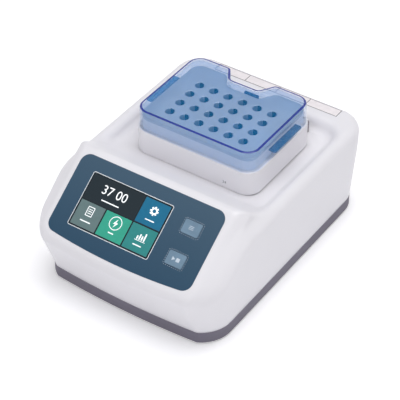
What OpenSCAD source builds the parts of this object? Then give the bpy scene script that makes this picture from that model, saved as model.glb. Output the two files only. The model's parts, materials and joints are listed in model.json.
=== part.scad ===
// Bench thermal mixer for small tubes.
// A drafted two-piece casing carries a belt-driven eccentric spindle. Three idler cranks
// keep the platform square, so the heated tube block on it circles without turning.
// Frame: +X right, +Y to the rear, +Z up. Origin under the middle of the machine, at the
// level of the feet.

/* [Casing] */
// Width over the side ridges of the upper housing
body_w = 252; // [248:1:270]
// Depth from the front lip to the rear wall
body_d = 348; // [346:1:370]
// Height of the side rails and the rear deck above the bench
rail_z = 126; // [124:1:140]
// How far the base tray stands in from the side ridges
side_draft = 7; // [4:1:10]
// How far the base tray stands back from the front lip
front_lean = 23; // [16:1:28]
// Wall of the moulded casing
wall = 3; // [2.5:0.1:3.5]
// Height of the base tray
tray_h = 15; // [13:1:18]
// Floor thickness of the base tray
tray_floor = 2.5; // [2:0.1:3.5]
// Height of the rubber feet below the tray
foot_h = 3; // [2:0.5:5]
// Diameter of the rubber feet
foot_d = 20; // [14:1:24]
// Depth of the block recess below the rails
recess_h = 15; // [10:1:18]
// Width of the recess floor
recess_w = 210; // [200:1:214]

/* [Control panel] */
// Tilt of the control panel from the horizontal, in degrees
panel_tilt = 35.4; // [33:0.1:38]
// Width of the control panel
panel_w = 194; // [186:1:198]
// Height of the control panel along its slope
panel_h = 102; // [98:1:104]
// Thickness of the panel overlay
panel_t = 1.6; // [1.2:0.1:2]
// Rise of the panel's upper edge above the rails
panel_rise = 19; // [17:1:21]
// Distance of the panel's upper edge behind the front lip
panel_back = 91; // [90:1:94]
// Width of the screen window
screen_w = 108; // [100:1:112]
// Height of the screen window
screen_h = 65; // [60:1:68]
// Offset of the screen to the left of the panel centre
screen_x = 19.6; // [16:0.2:22]
// Width of a key
key_w = 23; // [20:0.5:26]
// Height of a key
key_h = 17; // [14:0.5:19]
// Offset of the keys to the right of the panel centre
key_x = 65.8; // [64:0.2:68]
// Distance between the two keys
key_pitch = 38; // [34:1:42]
// Travel of a key
key_travel = 0.6; // [0.4:0.1:0.8]

/* [Tube block] */
// Wells across
well_cols = 6; // [4:1:6]
// Wells from front to rear
well_rows = 4; // [3:1:4]
// Distance between wells
well_pitch = 20; // [18:0.5:20.5]
// Diameter of a well
well_d = 11; // [9:0.1:12]
// Depth of a well
well_depth = 36; // [30:1:38]
// Height of the block from the thermal plate to its top
block_h = 43; // [41:1:48]
// Thickness of the block's top flange
flange_t = 4; // [3:0.5:6]
// Distance of the wells' centre behind the middle of the machine
block_y = 44; // [42:1:46]
// Wall of the block skirt
skirt_wall = 2.5; // [2:0.1:3]
// Height of the skirt's lower step
skirt_h = 31; // [28:1:33]
// Gap between the skirt and the recess floor
skirt_gap = 2; // [1.5:0.1:3]

/* [Lid] */
// How far the lid reaches past the block at each side
lid_side = 19.5; // [19.5:0.5:22]
// How far the lid reaches past the block in front
lid_front = 18; // [17:0.5:19]
// Clearance between the notch and the block behind the wells
notch_room = 8; // [8:0.5:10]
// Height of the lid
lid_h = 27; // [25:1:32]
// Wall of the lid
lid_wall = 2.4; // [2:0.1:3]
// Play between the lid and the block flange
lid_gap = 1; // [0.6:0.1:1.4]
// Width of the skirt ledge that the lid stands on
lid_ledge = 2; // [1:0.5:3]
// Width of the notch at its mouth
notch_w = 62; // [56:1:66]
// Depth of the notch in the lid's rear edge
notch_d = 19; // [15:1:20]
// Length of a side grip
grip_l = 56; // [40:1:60]
// Reach of a side grip
grip_reach = 8.5; // [6:0.5:9]

/* [Drive] */
// Radius of the circle that the platform makes
orbit_r = 1.5; // [1:0.1:1.5]
// Running clearance on the radius of each shaft
run_fit = 0.05; // [0.03:0.01:0.08]
// Diameter of the drive spindle
spindle_d = 12; // [10:1:12]
// Diameter of the spindle pulley
pulley_d = 48; // [44:1:52]
// Diameter of the motor pulley
motor_pulley_d = 24; // [20:1:26]
// Centre distance between the motor and the spindle
belt_centres = 92; // [88:1:96]
// Width of the drive belt
belt_w = 8; // [6:0.5:9]
// Thickness of the drive belt
belt_t = 1.6; // [1.2:0.1:2]
// Diameter of the motor can
motor_d = 56; // [50:1:60]
// Height of the motor can
motor_h = 45; // [38:1:50]
// Level of the drive plate above the bench
plate_z = 30; // [28:1:32]
// Thickness of the drive plate
plate_t = 3; // [2:0.5:4]
// Diameter of the idler crank shafts
idler_d = 8; // [7:0.5:9]
// Diameter of the idler crank pins
idler_pin_d = 6; // [5:0.5:6]
// Thickness of the orbiting platform
platform_t = 5; // [4:0.5:6]
// Height of the heat sink's fins
fin_h = 17; // [12:1:18]
// Number of fins
fin_n = 17; // [9:1:21]

/* [Rear] */
// Side of the cooling fan
fan_w = 60; // [60:1:62]
// Depth of the cooling fan
fan_t = 15; // [12:1:16]
// Offset of the fan to the left
fan_x = 57; // [54:1:58]
// Offset of the mains inlet to the right
inlet_x = 68; // [66:1:69]
// Height of the mains inlet's centre above the bench
inlet_z = 44; // [42:1:50]

/* [Hidden] */

$fn = 64;
eps = 0.01;
mesh_fn = 32;                        // faces of the rounded discs inside a hull
seat_gap = 0.3;                      // clearance beside a moving part

// Casing levels and edges
tray_z = foot_h;                     // underside of the tray
split_z = foot_h + tray_h;           // joint between tray and housing
floor_z = tray_z + tray_floor;       // inside floor of the tray
pan_z = rail_z - recess_h;           // floor of the recess
front_y = -body_d / 2;
rear_y = body_d / 2;
tray_w = body_w - 2 * side_draft;
tray_front = front_y + front_lean;
front_r = 40;                        // front corner radius of the tray
rear_r = 35;                         // rear corner radius
tray_bow = 1100;                     // radius of the tray's bowed front

// Upper housing
lip_r = 50;                          // front corner radius at the lip
ridge_r = 50;                        // blend from the rails to the front slope
top_edge = 12;                       // rounding of the rails and the rear deck
lip_edge = 14;                       // rounding over the front lip
draft_z = 100;                       // the sides are upright above this level
slope_drop = 10.2;                   // slope beside the panel, under the panel face
pan_front = -60;                     // recess cut, hidden under the console
pan_rear = rear_y - 42;              // recess floor ends
pan_slope = 5;                       // outward lean of the recess walls
pan_r = 20;                          // corner radius of the recess

// Control panel frame
panel_top_y = front_y + panel_back;
panel_top_z = rail_z + panel_rise;
panel_cy = panel_top_y - panel_h / 2 * cos(panel_tilt);
panel_cz = panel_top_z - panel_h / 2 * sin(panel_tilt);
panel_r = 12;                        // corner radius of the overlay
panel_bow = 784;                     // radius of the overlay's bowed lower edge
panel_sink = 1.3;                    // depth of the overlay's seat
pod_margin = 8;                      // pod face beyond the overlay
pod_edge = 10;                       // rounding of the pod face
pod_drop = 13;                       // pod face to the widest pod section
pod_w = body_w - 22;                 // widest pod section
console_foot = -21;                  // rear foot of the console slope

// Offsets of the panel face and of the slope beside it, along the panel's normal
panel_c = cos(panel_tilt) * panel_top_z - sin(panel_tilt) * panel_top_y;
slope_c = panel_c - slope_drop;
ridge_cy = (cos(panel_tilt) * (rail_z - ridge_r) + ridge_r - slope_c) / sin(panel_tilt);
ridge_cz = rail_z - ridge_r;

// The front wall rises from the tray and just touches the rounding under the panel
lip_cy = front_y + lip_edge;
lip_cz = (panel_c - lip_edge + sin(panel_tilt) * lip_cy) / cos(panel_tilt);
wall_rise = [lip_cy - tray_front, lip_cz - split_z];
wall_angle = atan2(wall_rise[1], wall_rise[0]) + asin(lip_edge / norm(wall_rise));

glass_t = 1.6;                       // screen glass
window_gap = 0.3;                    // play round the glass and keys
key_rise = 1.2;                      // keys stand proud of the overlay
board_gap = 9;                       // panel face to the key board
key_stem = 4.5;                      // panel face to the end of a key's stem
screen_y = 1.5;                      // screen above the panel centre
key_y = 1;                           // key pair above the panel centre

// Moving stack above the drive plate
plate_top = plate_z + plate_t;
block_seat = pan_z + 7;              // top of the thermal plate
thermal_t = 7;
peltier_t = 4;
sink_base = 5;
sink_top = block_seat - thermal_t - peltier_t;
fin_z = sink_top - sink_base - fin_h;
platform_z = fin_z - platform_t;
hub_h = 10;
hub_z = platform_z - hub_h;
web_h = 8;                           // crank web and counterweight
run_gap = 1;                         // axial gap beside moving parts
web_z = hub_z - run_gap - web_h;
housing_top = web_z - run_gap;       // top of the bearing housings
web_flange = web_h / 2;
plate_w = 170;
plate_front = -82;
plate_rear = 114;
pulley_z = floor_z + 8;
pulley_rim = 1.5;
pulley_h = belt_w + 2 * pulley_rim + 1;
belt_gap = 0.3;                      // belt clear of the turning rims
motor_y = block_y - belt_centres;
motor_shaft_d = 6;
pin_d = 8;                           // eccentric pin of the spindle
bearing_w = 7;
bearing_od = 22;
spindle_bearing_od = 28;
spindle_bearing_w = 8;
housing_wall = 6;                    // wall of the bearing housings
foot_w = 7;                          // reach of the spindle housing's foot
foot_t = 6;
crank_web_d = 18;
bore_step = 2.5;                     // shoulder that each bearing rests on
idler_x = 60;
idler_dy = 44;                       // idler distance in front and behind
idler_at = [[-idler_x, block_y - idler_dy], [idler_x, block_y - idler_dy],
            [0, block_y + idler_dy]];
pillar_x = 75;
pillar_at = [for (sx = [-1, 1]) for (y = [plate_front + 10, plate_rear - 10])
             [sx * pillar_x, y]];
platform_w = 150;
platform_d = 118;
thermal_w = 124;
thermal_d = 84;
sink_w = 142;
sink_d = 100;
peltier_w = 40;
peltier_x = 22;
collar_play = orbit_r + 1.5;         // opening in the recess floor round the plate
collar_h = 2;
collar_t = 2.5;

// Block, skirt and lid
block_margin = 5.5;                  // block wall outside the outer wells
block_w = (well_cols - 1) * well_pitch + well_d + 2 * block_margin;
block_d = (well_rows - 1) * well_pitch + well_d + 2 * block_margin;
lid_w = block_w + 2 * lid_side;
lid_d = block_d + lid_front + notch_d + notch_room;
skirt_z = pan_z + skirt_gap;
ledge_z = skirt_z + skirt_h;         // the lid stands here
block_top = block_seat + block_h;
flange_z = block_top - flange_t;
top_w = lid_w - 2 * (lid_wall + lid_gap);
top_d = lid_d - 2 * (lid_wall + lid_gap);
skirt_w = lid_w + 2 * lid_ledge;
skirt_d = lid_d + 2 * lid_ledge;
lid_y = block_y + (notch_d + notch_room - lid_front) / 2;  // centre of lid and skirt
lid_r = 17;
notch_flare = 12;                    // the notch narrows by this much on each side
notch_r = 7;                         // rounding of the notch's corners
grip_t = 2.6;
grip_z = ledge_z + 12;
well_rim = 0.6;                      // chamfer of each well
tab_t = 3;                           // screw tabs inside the skirt
tab_screw_d = 3;
tab_gap = 1.2;                       // tab clear of the block's side
dowel_d = 5;
dowel_h = 8;
dowel_x = 40;

// Rear and base details
boss_d = 10;                         // screw bosses between tray and housing
boss_x = tray_w / 2 - 19;
fan_z = rail_z - fan_w / 2 - top_edge - 1;
inlet_w = 27;
psu_gap = 3;                         // supply clear of the screw boss and the inlet
psu_terminal = 8;
psu_d = 40;
psu_h = 38;
psu_left = boss_d / 2 - boss_x + psu_gap + psu_terminal;
psu_w = inlet_x - inlet_w / 2 - psu_gap - psu_left;
psu_x = psu_left + psu_w / 2;
psu_z = floor_z + 4;
board_w = 150;
chip = 16;                           // side of the larger circuit
chip_t = 1.5;
plug_w = 9;                          // wiring plugs along the rear edge
plug_pitch = 14;
cap_d = 8;                           // capacitors
cap_h = 12;
board_gap_y = 5;                     // main board clear of the drive plate
board_d = plate_front - board_gap_y - tray_front - 4 * wall;
board_y = plate_front - board_gap_y - board_d / 2;
board_z = floor_z + 8;
inlet_h = 31;
inlet_depth = 26;
bezel = 2;                           // width of a fitting's flange
bezel_t = 1.8;                       // thickness of the flange, sunk in the wall
socket_depth = 16;
rocker_w = 12;
rocker_r = 10.2;                     // the rocker turns inside this radius
rocker_depth = 7.5;                  // its axis lies this far inside the wall
switch_w = rocker_w + 5;
switch_h = 2 * rocker_r + 5;
rocker_z = inlet_z + 36;
fuse_h = 7;
pin_x = 68;
pin_y = rear_y - 49;
release_d = 6.3;
release_h = 16;
release_stroke = 3;
release_reach = 10;                  // length of the pin below the recess floor
boss_at = [for (sx = [-1, 1]) for (y = [tray_front + 50, rear_y - 24]) [sx * boss_x, y]];
screw_d = 4;
screw_head_d = 7.5;

// Profile and outline helpers

function unit(v) = v / norm(v);
function next(pts, i) = pts[(i + 1) % len(pts)];
function prev(pts, i) = pts[(i + len(pts) - 1) % len(pts)];

// Points of the arc of radius r that rounds corner p between its neighbours a and b
function corner_arc(a, p, b, r, n) = r <= 0 ? [p] :
    let (u = unit(a - p), v = unit(b - p), half = acos(u * v) / 2,
         c = p + unit(u + v) * r / sin(half),
         s = p + u * r / tan(half) - c, e = p + v * r / tan(half) - c,
         from = atan2(s[1], s[0]), by = atan2(cross(s, e), s * e))
    [for (k = [0 : n]) c + r * [cos(from + by * k / n), sin(from + by * k / n)]];

// Closed outline with each corner rounded by its own radius
function rounded(pts, radii, n = 8) =
    [for (i = [0 : len(pts) - 1])
        each corner_arc(prev(pts, i), pts[i], next(pts, i), radii[i], n)];

// Anticlockwise outline moved inwards by t
function inset(pts, t) =
    [for (i = [0 : len(pts) - 1])
        let (d1 = unit(pts[i] - prev(pts, i)), d2 = unit(next(pts, i) - pts[i]),
             n1 = [-d1[1], d1[0]], n2 = [-d2[1], d2[0]])
        pts[i] + t * (n1 + n2) / (1 + n1 * n2)];

// Where the front wall meets the sloping plane at offset c
function wall_meets(c) =
    let (d = [cos(wall_angle), sin(wall_angle)],
         k = (c + sin(panel_tilt) * tray_front - cos(panel_tilt) * split_z)
             / (cos(panel_tilt) * d[1] - sin(panel_tilt) * d[0]))
    [tray_front, split_z] + k * d;

// Rectangle with round corners, centred
module round_rect(w, d, r) {
    square([w - 2 * r, d], center = true);
    square([w, d - 2 * r], center = true);
    for (sx = [-1, 1]) for (sy = [-1, 1])
        translate([sx * (w / 2 - r), sy * (d / 2 - r)]) circle(r = r);
}

module slab(w, d, h, r) {
    linear_extrude(h) round_rect(w, d, r);
}

module tube(od, id, h) {
    difference() {
        cylinder(d = od, h = h);
        translate([0, 0, -eps]) cylinder(d = id, h = h + 2 * eps);
    }
}

// Puts children on the control panel: x across, y up the slope, z outwards
module on_panel(x = 0, y = 0, z = 0) {
    translate([0, panel_cy, panel_cz]) rotate([panel_tilt, 0, 0]) translate([x, y, z])
        children();
}

// Extrudes an outline drawn in (y, z) across the machine, centred
module across(w) {
    translate([-w / 2, 0, 0]) rotate([90, 0, 90]) linear_extrude(w) children();
}

module at_idlers() {
    for (p = idler_at) translate([p[0], p[1], 0]) children();
}

// Casing forms. t shrinks each form by a wall thickness.

// Plan outline with its own radii in front and behind, and a bowed front
module plan(half, y0, rf, rr, bow) {
    intersection() {
        union() {
            translate([-half, y0 + rf]) square([2 * half, rear_y - y0 - rf - rr]);
            translate([rf - half, y0]) square([2 * (half - rf), rf + 1]);
            translate([rr - half, rear_y - rr - 1]) square([2 * (half - rr), rr + 1]);
            for (s = [-1, 1]) {
                translate([s * (half - rf), y0 + rf]) circle(r = rf);
                translate([s * (half - rr), rear_y - rr]) circle(r = rr);
            }
        }
        translate([0, y0 + bow]) circle(r = bow, $fn = 360);
    }
}

module tray_outline() {
    plan(tray_w / 2, tray_front, front_r, rear_r, tray_bow);
}

module tray_inside() {
    inner = tray_w / 2 - wall;
    translate([0, -wall]) plan(inner, tray_front + 2 * wall, front_r - wall, rear_r - wall,
                               tray_bow);
}

// A point of the front wall's centre line
function wall_point(z) = [tray_front + (z - split_z) / tan(wall_angle), z];

// The leaning walls, between the tray outline and a wider outline above the roof
module walls(t) {
    top_z = 2 * rail_z;
    hull() for (z = [split_z - t, top_z])
        translate([0, -t, z]) linear_extrude(eps)
            plan(tray_w / 2 - t + side_draft * (z - split_z) / (draft_z - split_z),
                 wall_point(z)[0] + 2 * t,
                 front_r - t + (lip_r - front_r) * (z - split_z) / (lip_cz - split_z),
                 rear_r - t, tray_bow);
}

// Rounds both side edges along the roof where it slopes by the given angle
module edge_rounder(slope, t) {
    half = body_w / 2;
    sharp = inset([[-half, -body_d], [half, -body_d], [half, ridge_r], [-half, ridge_r]], t);
    translate([0, ridge_cy, ridge_cz]) rotate([slope + 90, 0, 0])
        linear_extrude(2 * body_d, center = true)
            polygon(rounded(sharp, [0, 0, top_edge - t, top_edge - t]));
}

// Everything under the rails and under the slope beside the panel
module core(t) {
    base = split_z - 2 * t;
    ridge_y = (cos(panel_tilt) * rail_z - slope_c) / sin(panel_tilt);
    sharp = inset([wall_point(base), [rear_y, base], [rear_y, rail_z], [ridge_y, rail_z],
                   wall_meets(slope_c)], t);
    intersection() {
        across(2 * body_w)
            polygon(rounded(sharp, [0, 0, top_edge - t, ridge_r - t, lip_edge - t]));
        for (k = [0 : 3]) edge_rounder(panel_tilt * k / 3, t);
    }
}

// The raised pod that carries the panel, and the console slope behind it
module pod(t) {
    base = split_z - 2 * t;
    face_w = panel_w / 2 + pod_margin;
    crest = [panel_top_y + pod_margin * cos(panel_tilt),
             panel_top_z + pod_margin * sin(panel_tilt)];
    side = inset([wall_point(base), [console_foot, base], [console_foot, pan_z], crest,
                  wall_meets(panel_c)], t);
    front = inset([[-pod_w / 2, -body_d], [pod_w / 2, -body_d], [pod_w / 2, -pod_drop],
                   [face_w, 0], [-face_w, 0], [-pod_w / 2, -pod_drop]], t);
    intersection() {
        across(body_w) polygon(rounded(side, [0, 0, 0, top_edge - t, lip_edge - t]));
        on_panel() rotate([90, 0, 0]) linear_extrude(2 * body_d, center = true)
            polygon(rounded(front, [0, 0, 6, pod_edge - t, pod_edge - t, 6]));
    }
}

// The recess round the block, wider at the rails than at its floor
module recess(t) {
    depth = pan_rear - pan_front;
    hull() for (k = [0, 1])
        translate([0, (pan_rear + pan_front) / 2, k == 0 ? pan_z - t : rail_z + 1])
            slab(recess_w + 2 * (t + k * pan_slope), depth + 2 * (t + k * pan_slope), eps,
                 pan_r + t + k * pan_slope, $fn = mesh_fn);
}

module casing_form(t = 0) {
    intersection() {
        walls(t);
        union() {
            difference() {
                core(t);
                recess(t);
            }
            pod(t);
        }
    }
}

// Base

module base_tray() {
    slot_n = 7;
    slot_l = 34;
    color("#6e6a78") difference() {
        translate([0, 0, tray_z]) union() {
            difference() {
                linear_extrude(tray_h) tray_outline();
                translate([0, 0, tray_floor]) linear_extrude(tray_h) tray_inside();
            }
            for (p = boss_at) translate([p[0], p[1], 0]) cylinder(d = boss_d, h = tray_h);
            for (sx = [-1, 1]) translate([psu_x + sx * (psu_w / 2 - 8), rear_y - 28, 0])
                cylinder(d = 8, h = psu_z - tray_z);
        }
        for (p = boss_at) translate([p[0], p[1], tray_z - eps]) {
            cylinder(d = screw_d + 0.4, h = tray_h + 1);
            cylinder(d = screw_head_d + 1, h = 4 + 2 * eps);
        }
        for (i = [0 : slot_n - 1]) for (sx = [-1, 1])
            translate([sx * 45, block_y - 30 + i * 9, tray_z - eps])
                slab(slot_l, 3.5, tray_floor + 1, 1.7);
    }
}

foot_at = [for (sx = [-1, 1]) for (y = [tray_front + 24, rear_y - 50])
           [sx * (tray_w / 2 - 28), y]];

module rubber_feet() {
    color("#2c2c2e") for (p = foot_at) translate([p[0], p[1], 0])
        rotate_extrude() polygon([[0, 0], [foot_d / 2 - 1.5, 0], [foot_d / 2, 1.5],
                                  [foot_d / 2, foot_h], [0, foot_h]]);
}

module vent_slots() {
    for (i = [-5 : 5]) translate([-fan_x + i * 5, rear_y - 2 * wall, fan_z])
        rotate([-90, 0, 0]) slab(2.6, 44 - abs(i) * 2, 3 * wall, 1.2);
}

module housing_shell() {
    opening_w = thermal_w + 2 * collar_play;
    opening_d = thermal_d + 2 * collar_play;
    color("#eeedf2") difference() {
        union() {
            difference() {
                casing_form();
                casing_form(wall);
            }
            for (p = boss_at) translate([p[0], p[1], split_z])
                cylinder(d = boss_d, h = boss_top(p[1]) - split_z);
            translate([0, block_y, pan_z - wall / 2])
                slab(opening_w + 2 * collar_t, opening_d + 2 * collar_t, collar_h + wall / 2,
                     6 + collar_t);
        }
        translate([0, block_y, pan_z - 2 * wall]) slab(opening_w, opening_d, 4 * wall, 6);
        for (p = boss_at) translate([p[0], p[1], split_z - eps])
            cylinder(d = screw_d - 0.1, h = 14);
        on_panel(0, 0, -panel_sink) linear_extrude(10) overlay_outline(window_gap);
        on_panel(-screen_x, screen_y, -20)
            slab(screen_w + 6, screen_h + 6, 40, 2);
        for (s = [-1, 1]) on_panel(key_x, key_y + s * key_pitch / 2, -20)
            slab(key_w + 2, key_h + 2, 40, 3);
        translate([pin_x, pin_y, pan_z - 2 * wall])
            cylinder(d = release_d + 2 * run_fit, h = 4 * wall);
        vent_slots();
        on_rear(inlet_x, inlet_z) fitting_seat(inlet_w, inlet_h);
        on_rear(inlet_x, rocker_z) fitting_seat(switch_w, switch_h);
    }
}

// The bosses reach the underside of the roof above them
function boss_top(y) = y > 0 ? rail_z - wall / 2 :
    (panel_c - wall + sin(panel_tilt) * y) / cos(panel_tilt);

// Hole and sunk seat for a flanged fitting in the rear wall
module fitting_seat(w, h) {
    translate([0, 0, -eps]) slab(w + 2 * bezel + 0.4, h + 2 * bezel + 0.4, bezel_t + eps, 1.5);
    slab(w + 0.4, h + 0.4, 2 * wall, 1);
}

module housing_screws() {
    color("#b8b8bc") for (p = boss_at) translate([p[0], p[1], tray_z + 1]) {
        cylinder(d = screw_head_d, h = 3);
        cylinder(d = screw_d - 0.2, h = tray_h + 8);
    }
}

// Control panel

module overlay_outline(play = 0) {
    intersection() {
        round_rect(panel_w + 2 * play, panel_h + 2 * play, panel_r);
        translate([0, panel_bow - panel_h / 2 - play]) circle(r = panel_bow, $fn = 720);
    }
}

module control_overlay() {
    color("#4a6478") on_panel(0, 0, -panel_sink) difference() {
        linear_extrude(panel_t) overlay_outline();
        translate([-screen_x, screen_y, -1]) slab(screen_w, screen_h, 10, 2);
        for (s = [-1, 1]) translate([key_x, key_y + s * key_pitch / 2, -1])
            slab(key_w, key_h, 10, 2.5);
    }
}

module display_glass() {
    color("#28383f") on_panel(-screen_x, screen_y, -panel_sink - glass_t + panel_t)
        slab(screen_w - 2 * window_gap, screen_h - 2 * window_gap, glass_t, 1.7);
}

module display_module() {
    color("#9a9ea3") on_panel(-screen_x, screen_y, 0) {
        translate([0, 0, panel_t - panel_sink - glass_t - 5])
            slab(screen_w + 2, screen_h + 2, 5, 1);
        translate([-screen_w / 2 + 12, -screen_h / 2 + 8, panel_t - panel_sink - glass_t - 8])
            cube([screen_w - 24, screen_h - 16, 3]);
    }
}

module key_board() {
    color("#2f7d4f") on_panel(key_x, key_y, -board_gap - 1.6)
        slab(key_w + 4, key_pitch + key_h + 8, 1.6, 1);
    color("#333333") for (s = [-1, 1]) on_panel(key_x, key_y + s * key_pitch / 2, -board_gap)
        cylinder(d = 6, h = board_gap - key_stem - key_travel - seat_gap);
    color("#d8d8dc") for (sx = [-1, 1]) for (sy = [-1, 1])
        on_panel(key_x + sx * (key_w / 2), key_y + sy * ((key_pitch + key_h) / 2 + 2.5),
                 -board_gap)
            cylinder(d = 2.4, h = board_gap - wall);
}

// A key: cap through the overlay, a flange that the overlay keeps in, and a stem
module key_cap(level) {
    flange_top = panel_sink + 0.3;
    flange_low = wall + 0.2;
    color("#6d8ba0") on_panel(key_x, key_y + level * key_pitch / 2, 0) {
        translate([0, 0, -flange_low]) slab(key_w + 1.4, key_h + 1.4,
                                            flange_low - flange_top, 2.2);
        translate([0, 0, -flange_top - eps])
            slab(key_w - 2 * window_gap, key_h - 2 * window_gap,
                 flange_top + panel_t - panel_sink + key_rise - 0.5, 2.2);
        translate([0, 0, panel_t - panel_sink + key_rise - 0.5 - 2 * eps])
            slab(key_w - 1.6, key_h - 1.6, 0.5, 1.8);
        translate([0, 0, -key_stem]) cylinder(d = 5, h = key_stem - flange_low + eps);
    }
}

module menu_key() key_cap(1);
module run_key() key_cap(-1);

// Electronics

module main_board() {
    color("#2f7d4f") difference() {
        translate([0, board_y, board_z]) slab(board_w, board_d, 1.6, 2);
        board_corners() translate([0, 0, board_z - 1]) cylinder(d = 3.2, h = 4);
    }
}

module board_corners() {
    for (sx = [-1, 1]) for (sy = [-1, 1])
        translate([sx * (board_w / 2 - 5), board_y + sy * (board_d / 2 - 5), 0]) children();
}

module board_components() {
    top = board_z + 1.6;
    row = board_d / 4;
    color("#303338") {
        translate([-board_w / 8, board_y - row, top]) cube([chip, chip, chip_t]);
        translate([board_w / 8, board_y, top]) cube([chip, chip / 2, chip_t]);
        for (i = [0 : 4]) translate([i * plug_pitch - board_w * 0.41, board_y + row, top])
            cube([plug_w, plug_w / 2, plug_w]);
    }
    color("#5b6f86") for (i = [0 : 2])
        translate([board_w / 4 + i * plug_pitch, board_y - row, top])
            cylinder(d = cap_d, h = cap_h);
}

module board_standoffs() {
    color("#c9c3a8") board_corners() translate([0, 0, floor_z]) {
        cylinder(d = 6, h = board_z - floor_z, $fn = 6);
        cylinder(d = 2.9, h = board_z - floor_z + 4);
    }
}

module power_supply() {
    y0 = rear_y - 8 - psu_d;
    color("#b9bcc0") difference() {
        translate([psu_x - psu_w / 2, y0, psu_z]) cube([psu_w, psu_d, psu_h]);
        for (i = [0 : 8]) translate([psu_x - 52 + i * 13, y0 - 1, psu_z + 10])
            cube([4, 4, psu_h - 20]);
    }
    color("#303338") translate([psu_x - psu_w / 2 - 8, y0 + 5, psu_z]) cube([8, psu_d - 10, 14]);
}

// Drive

module drive_plate() {
    mid = (plate_front + plate_rear) / 2;
    color("#a9adb3") difference() {
        translate([0, mid, plate_z]) slab(plate_w, plate_rear - plate_front, plate_t, 10);
        translate([0, block_y, plate_z - 1]) cylinder(d = spindle_d + 4, h = plate_t + 2);
        translate([0, motor_y, plate_z - 1]) cylinder(d = 14, h = plate_t + 2);
        at_idlers() translate([0, 0, plate_z - 1]) cylinder(d = idler_d + 2, h = plate_t + 2);
        for (p = pillar_at) translate([p[0], p[1], plate_z - 1])
            cylinder(d = 4.4, h = plate_t + 2);
        for (sx = [-1, 1]) translate([sx * 44, block_y + 2, plate_z - 1])
            slab(22, 34, plate_t + 2, 5);
    }
}

module plate_pillars() {
    color("#c0c3c8") for (p = pillar_at) translate([p[0], p[1], floor_z])
        cylinder(d = 11, h = plate_z - floor_z, $fn = 6);
}

module plate_screws() {
    color("#8d9096") for (p = pillar_at) translate([p[0], p[1], plate_z]) {
        cylinder(d = 4, h = plate_t);
        translate([0, 0, plate_t]) difference() {
            cylinder(d = 8, h = 3);
            translate([0, 0, 1.5]) cylinder(d = 4, h = 2, $fn = 6);
        }
    }
}

module motor_can() {
    color("#3b3e44") translate([0, motor_y, plate_top]) difference() {
        union() {
            cylinder(d = motor_d, h = motor_h - 4);
            cylinder(d = motor_d - 8, h = motor_h);
        }
        for (i = [0 : 7]) rotate(i * 45) translate([motor_d / 2, 0, 8])
            cylinder(d = 4, h = motor_h - 20);
        translate([0, 0, -1]) cylinder(d = motor_shaft_d + 2 * run_fit, h = motor_h + 2);
    }
}

module motor_shaft() {
    color("#d5d7db") translate([0, motor_y, pulley_z - 1])
        cylinder(d = motor_shaft_d, h = plate_top + motor_h + 2 - pulley_z);
}

// Flanged belt pulley with a hub
module pulley(d, bore) {
    rim = pulley_rim;
    difference() {
        union() {
            cylinder(d = d, h = pulley_h);
            cylinder(d = d + 4, h = rim);
            translate([0, 0, pulley_h - rim]) cylinder(d = d + 4, h = rim);
        }
        translate([0, 0, -1]) cylinder(d = bore, h = pulley_h + 2);
    }
}

module motor_pulley() {
    color("#c9ccd1") translate([0, motor_y, pulley_z])
        pulley(motor_pulley_d, motor_shaft_d + 2 * run_fit);
}

module spindle_pulley() {
    color("#c9ccd1") translate([0, block_y, pulley_z]) difference() {
        pulley(pulley_d, spindle_d + 2 * run_fit);
        for (i = [0 : 4]) rotate(i * 72) translate([pulley_d / 3, 0, -1])
            cylinder(d = 8, h = pulley_h + 2);
    }
}

module belt_loop(t) {
    hull() {
        translate([0, block_y]) circle(d = pulley_d + 2 * (belt_gap + t), $fn = 72);
        translate([0, motor_y]) circle(d = motor_pulley_d + 2 * (belt_gap + t), $fn = 48);
    }
}

module drive_belt() {
    color("#232326") translate([0, 0, pulley_z + (pulley_h - belt_w) / 2])
        linear_extrude(belt_w) difference() {
            belt_loop(belt_t);
            belt_loop(0);
        }
}

module spindle_housing() {
    color("#b4b8bd") translate([0, block_y, plate_top]) difference() {
        union() {
            cylinder(d = spindle_bearing_od + 2 * (housing_wall + foot_w), h = foot_t);
            cylinder(d = spindle_bearing_od + 2 * housing_wall, h = housing_top - plate_top);
        }
        translate([0, 0, -1]) cylinder(d = spindle_bearing_od - 2 * bore_step, h = housing_top);
        for (z = [-1, housing_top - plate_top - spindle_bearing_w])
            translate([0, 0, z]) cylinder(d = spindle_bearing_od + 2 * run_fit,
                                          h = spindle_bearing_w + 1);
        for (i = [0 : 3]) rotate(45 + i * 90)
            translate([spindle_bearing_od / 2 + housing_wall + foot_w / 2, 0, -1])
                cylinder(d = foot_w / 2, h = foot_t + 2);
    }
}

// Sealed ball bearing: two races with a recessed shield between them
module bearing(od, id, w) {
    race = (od - id) / 8;
    rotate_extrude() difference() {
        translate([id / 2, 0]) square([(od - id) / 2, w]);
        for (y = [-eps, w - 0.5]) translate([id / 2 + race, y])
            square([(od - id) / 2 - 2 * race, 0.5 + eps]);
    }
}

module spindle_bearings() {
    color("#d9dbde") for (z = [plate_top, housing_top - spindle_bearing_w])
        translate([0, block_y, z])
            bearing(spindle_bearing_od, spindle_d + 2 * run_fit, spindle_bearing_w);
}

module drive_spindle() {
    color("#d2d5d9") translate([0, block_y, 0]) {
        translate([0, 0, pulley_z - 2]) cylinder(d = spindle_d, h = web_z - pulley_z + 2);
        translate([0, 0, web_z]) cylinder(d = 32, h = web_flange);
        translate([orbit_r, 0, web_z + web_flange])
            cylinder(d = pin_d, h = platform_z - run_gap - web_z - web_flange);
    }
}

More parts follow.
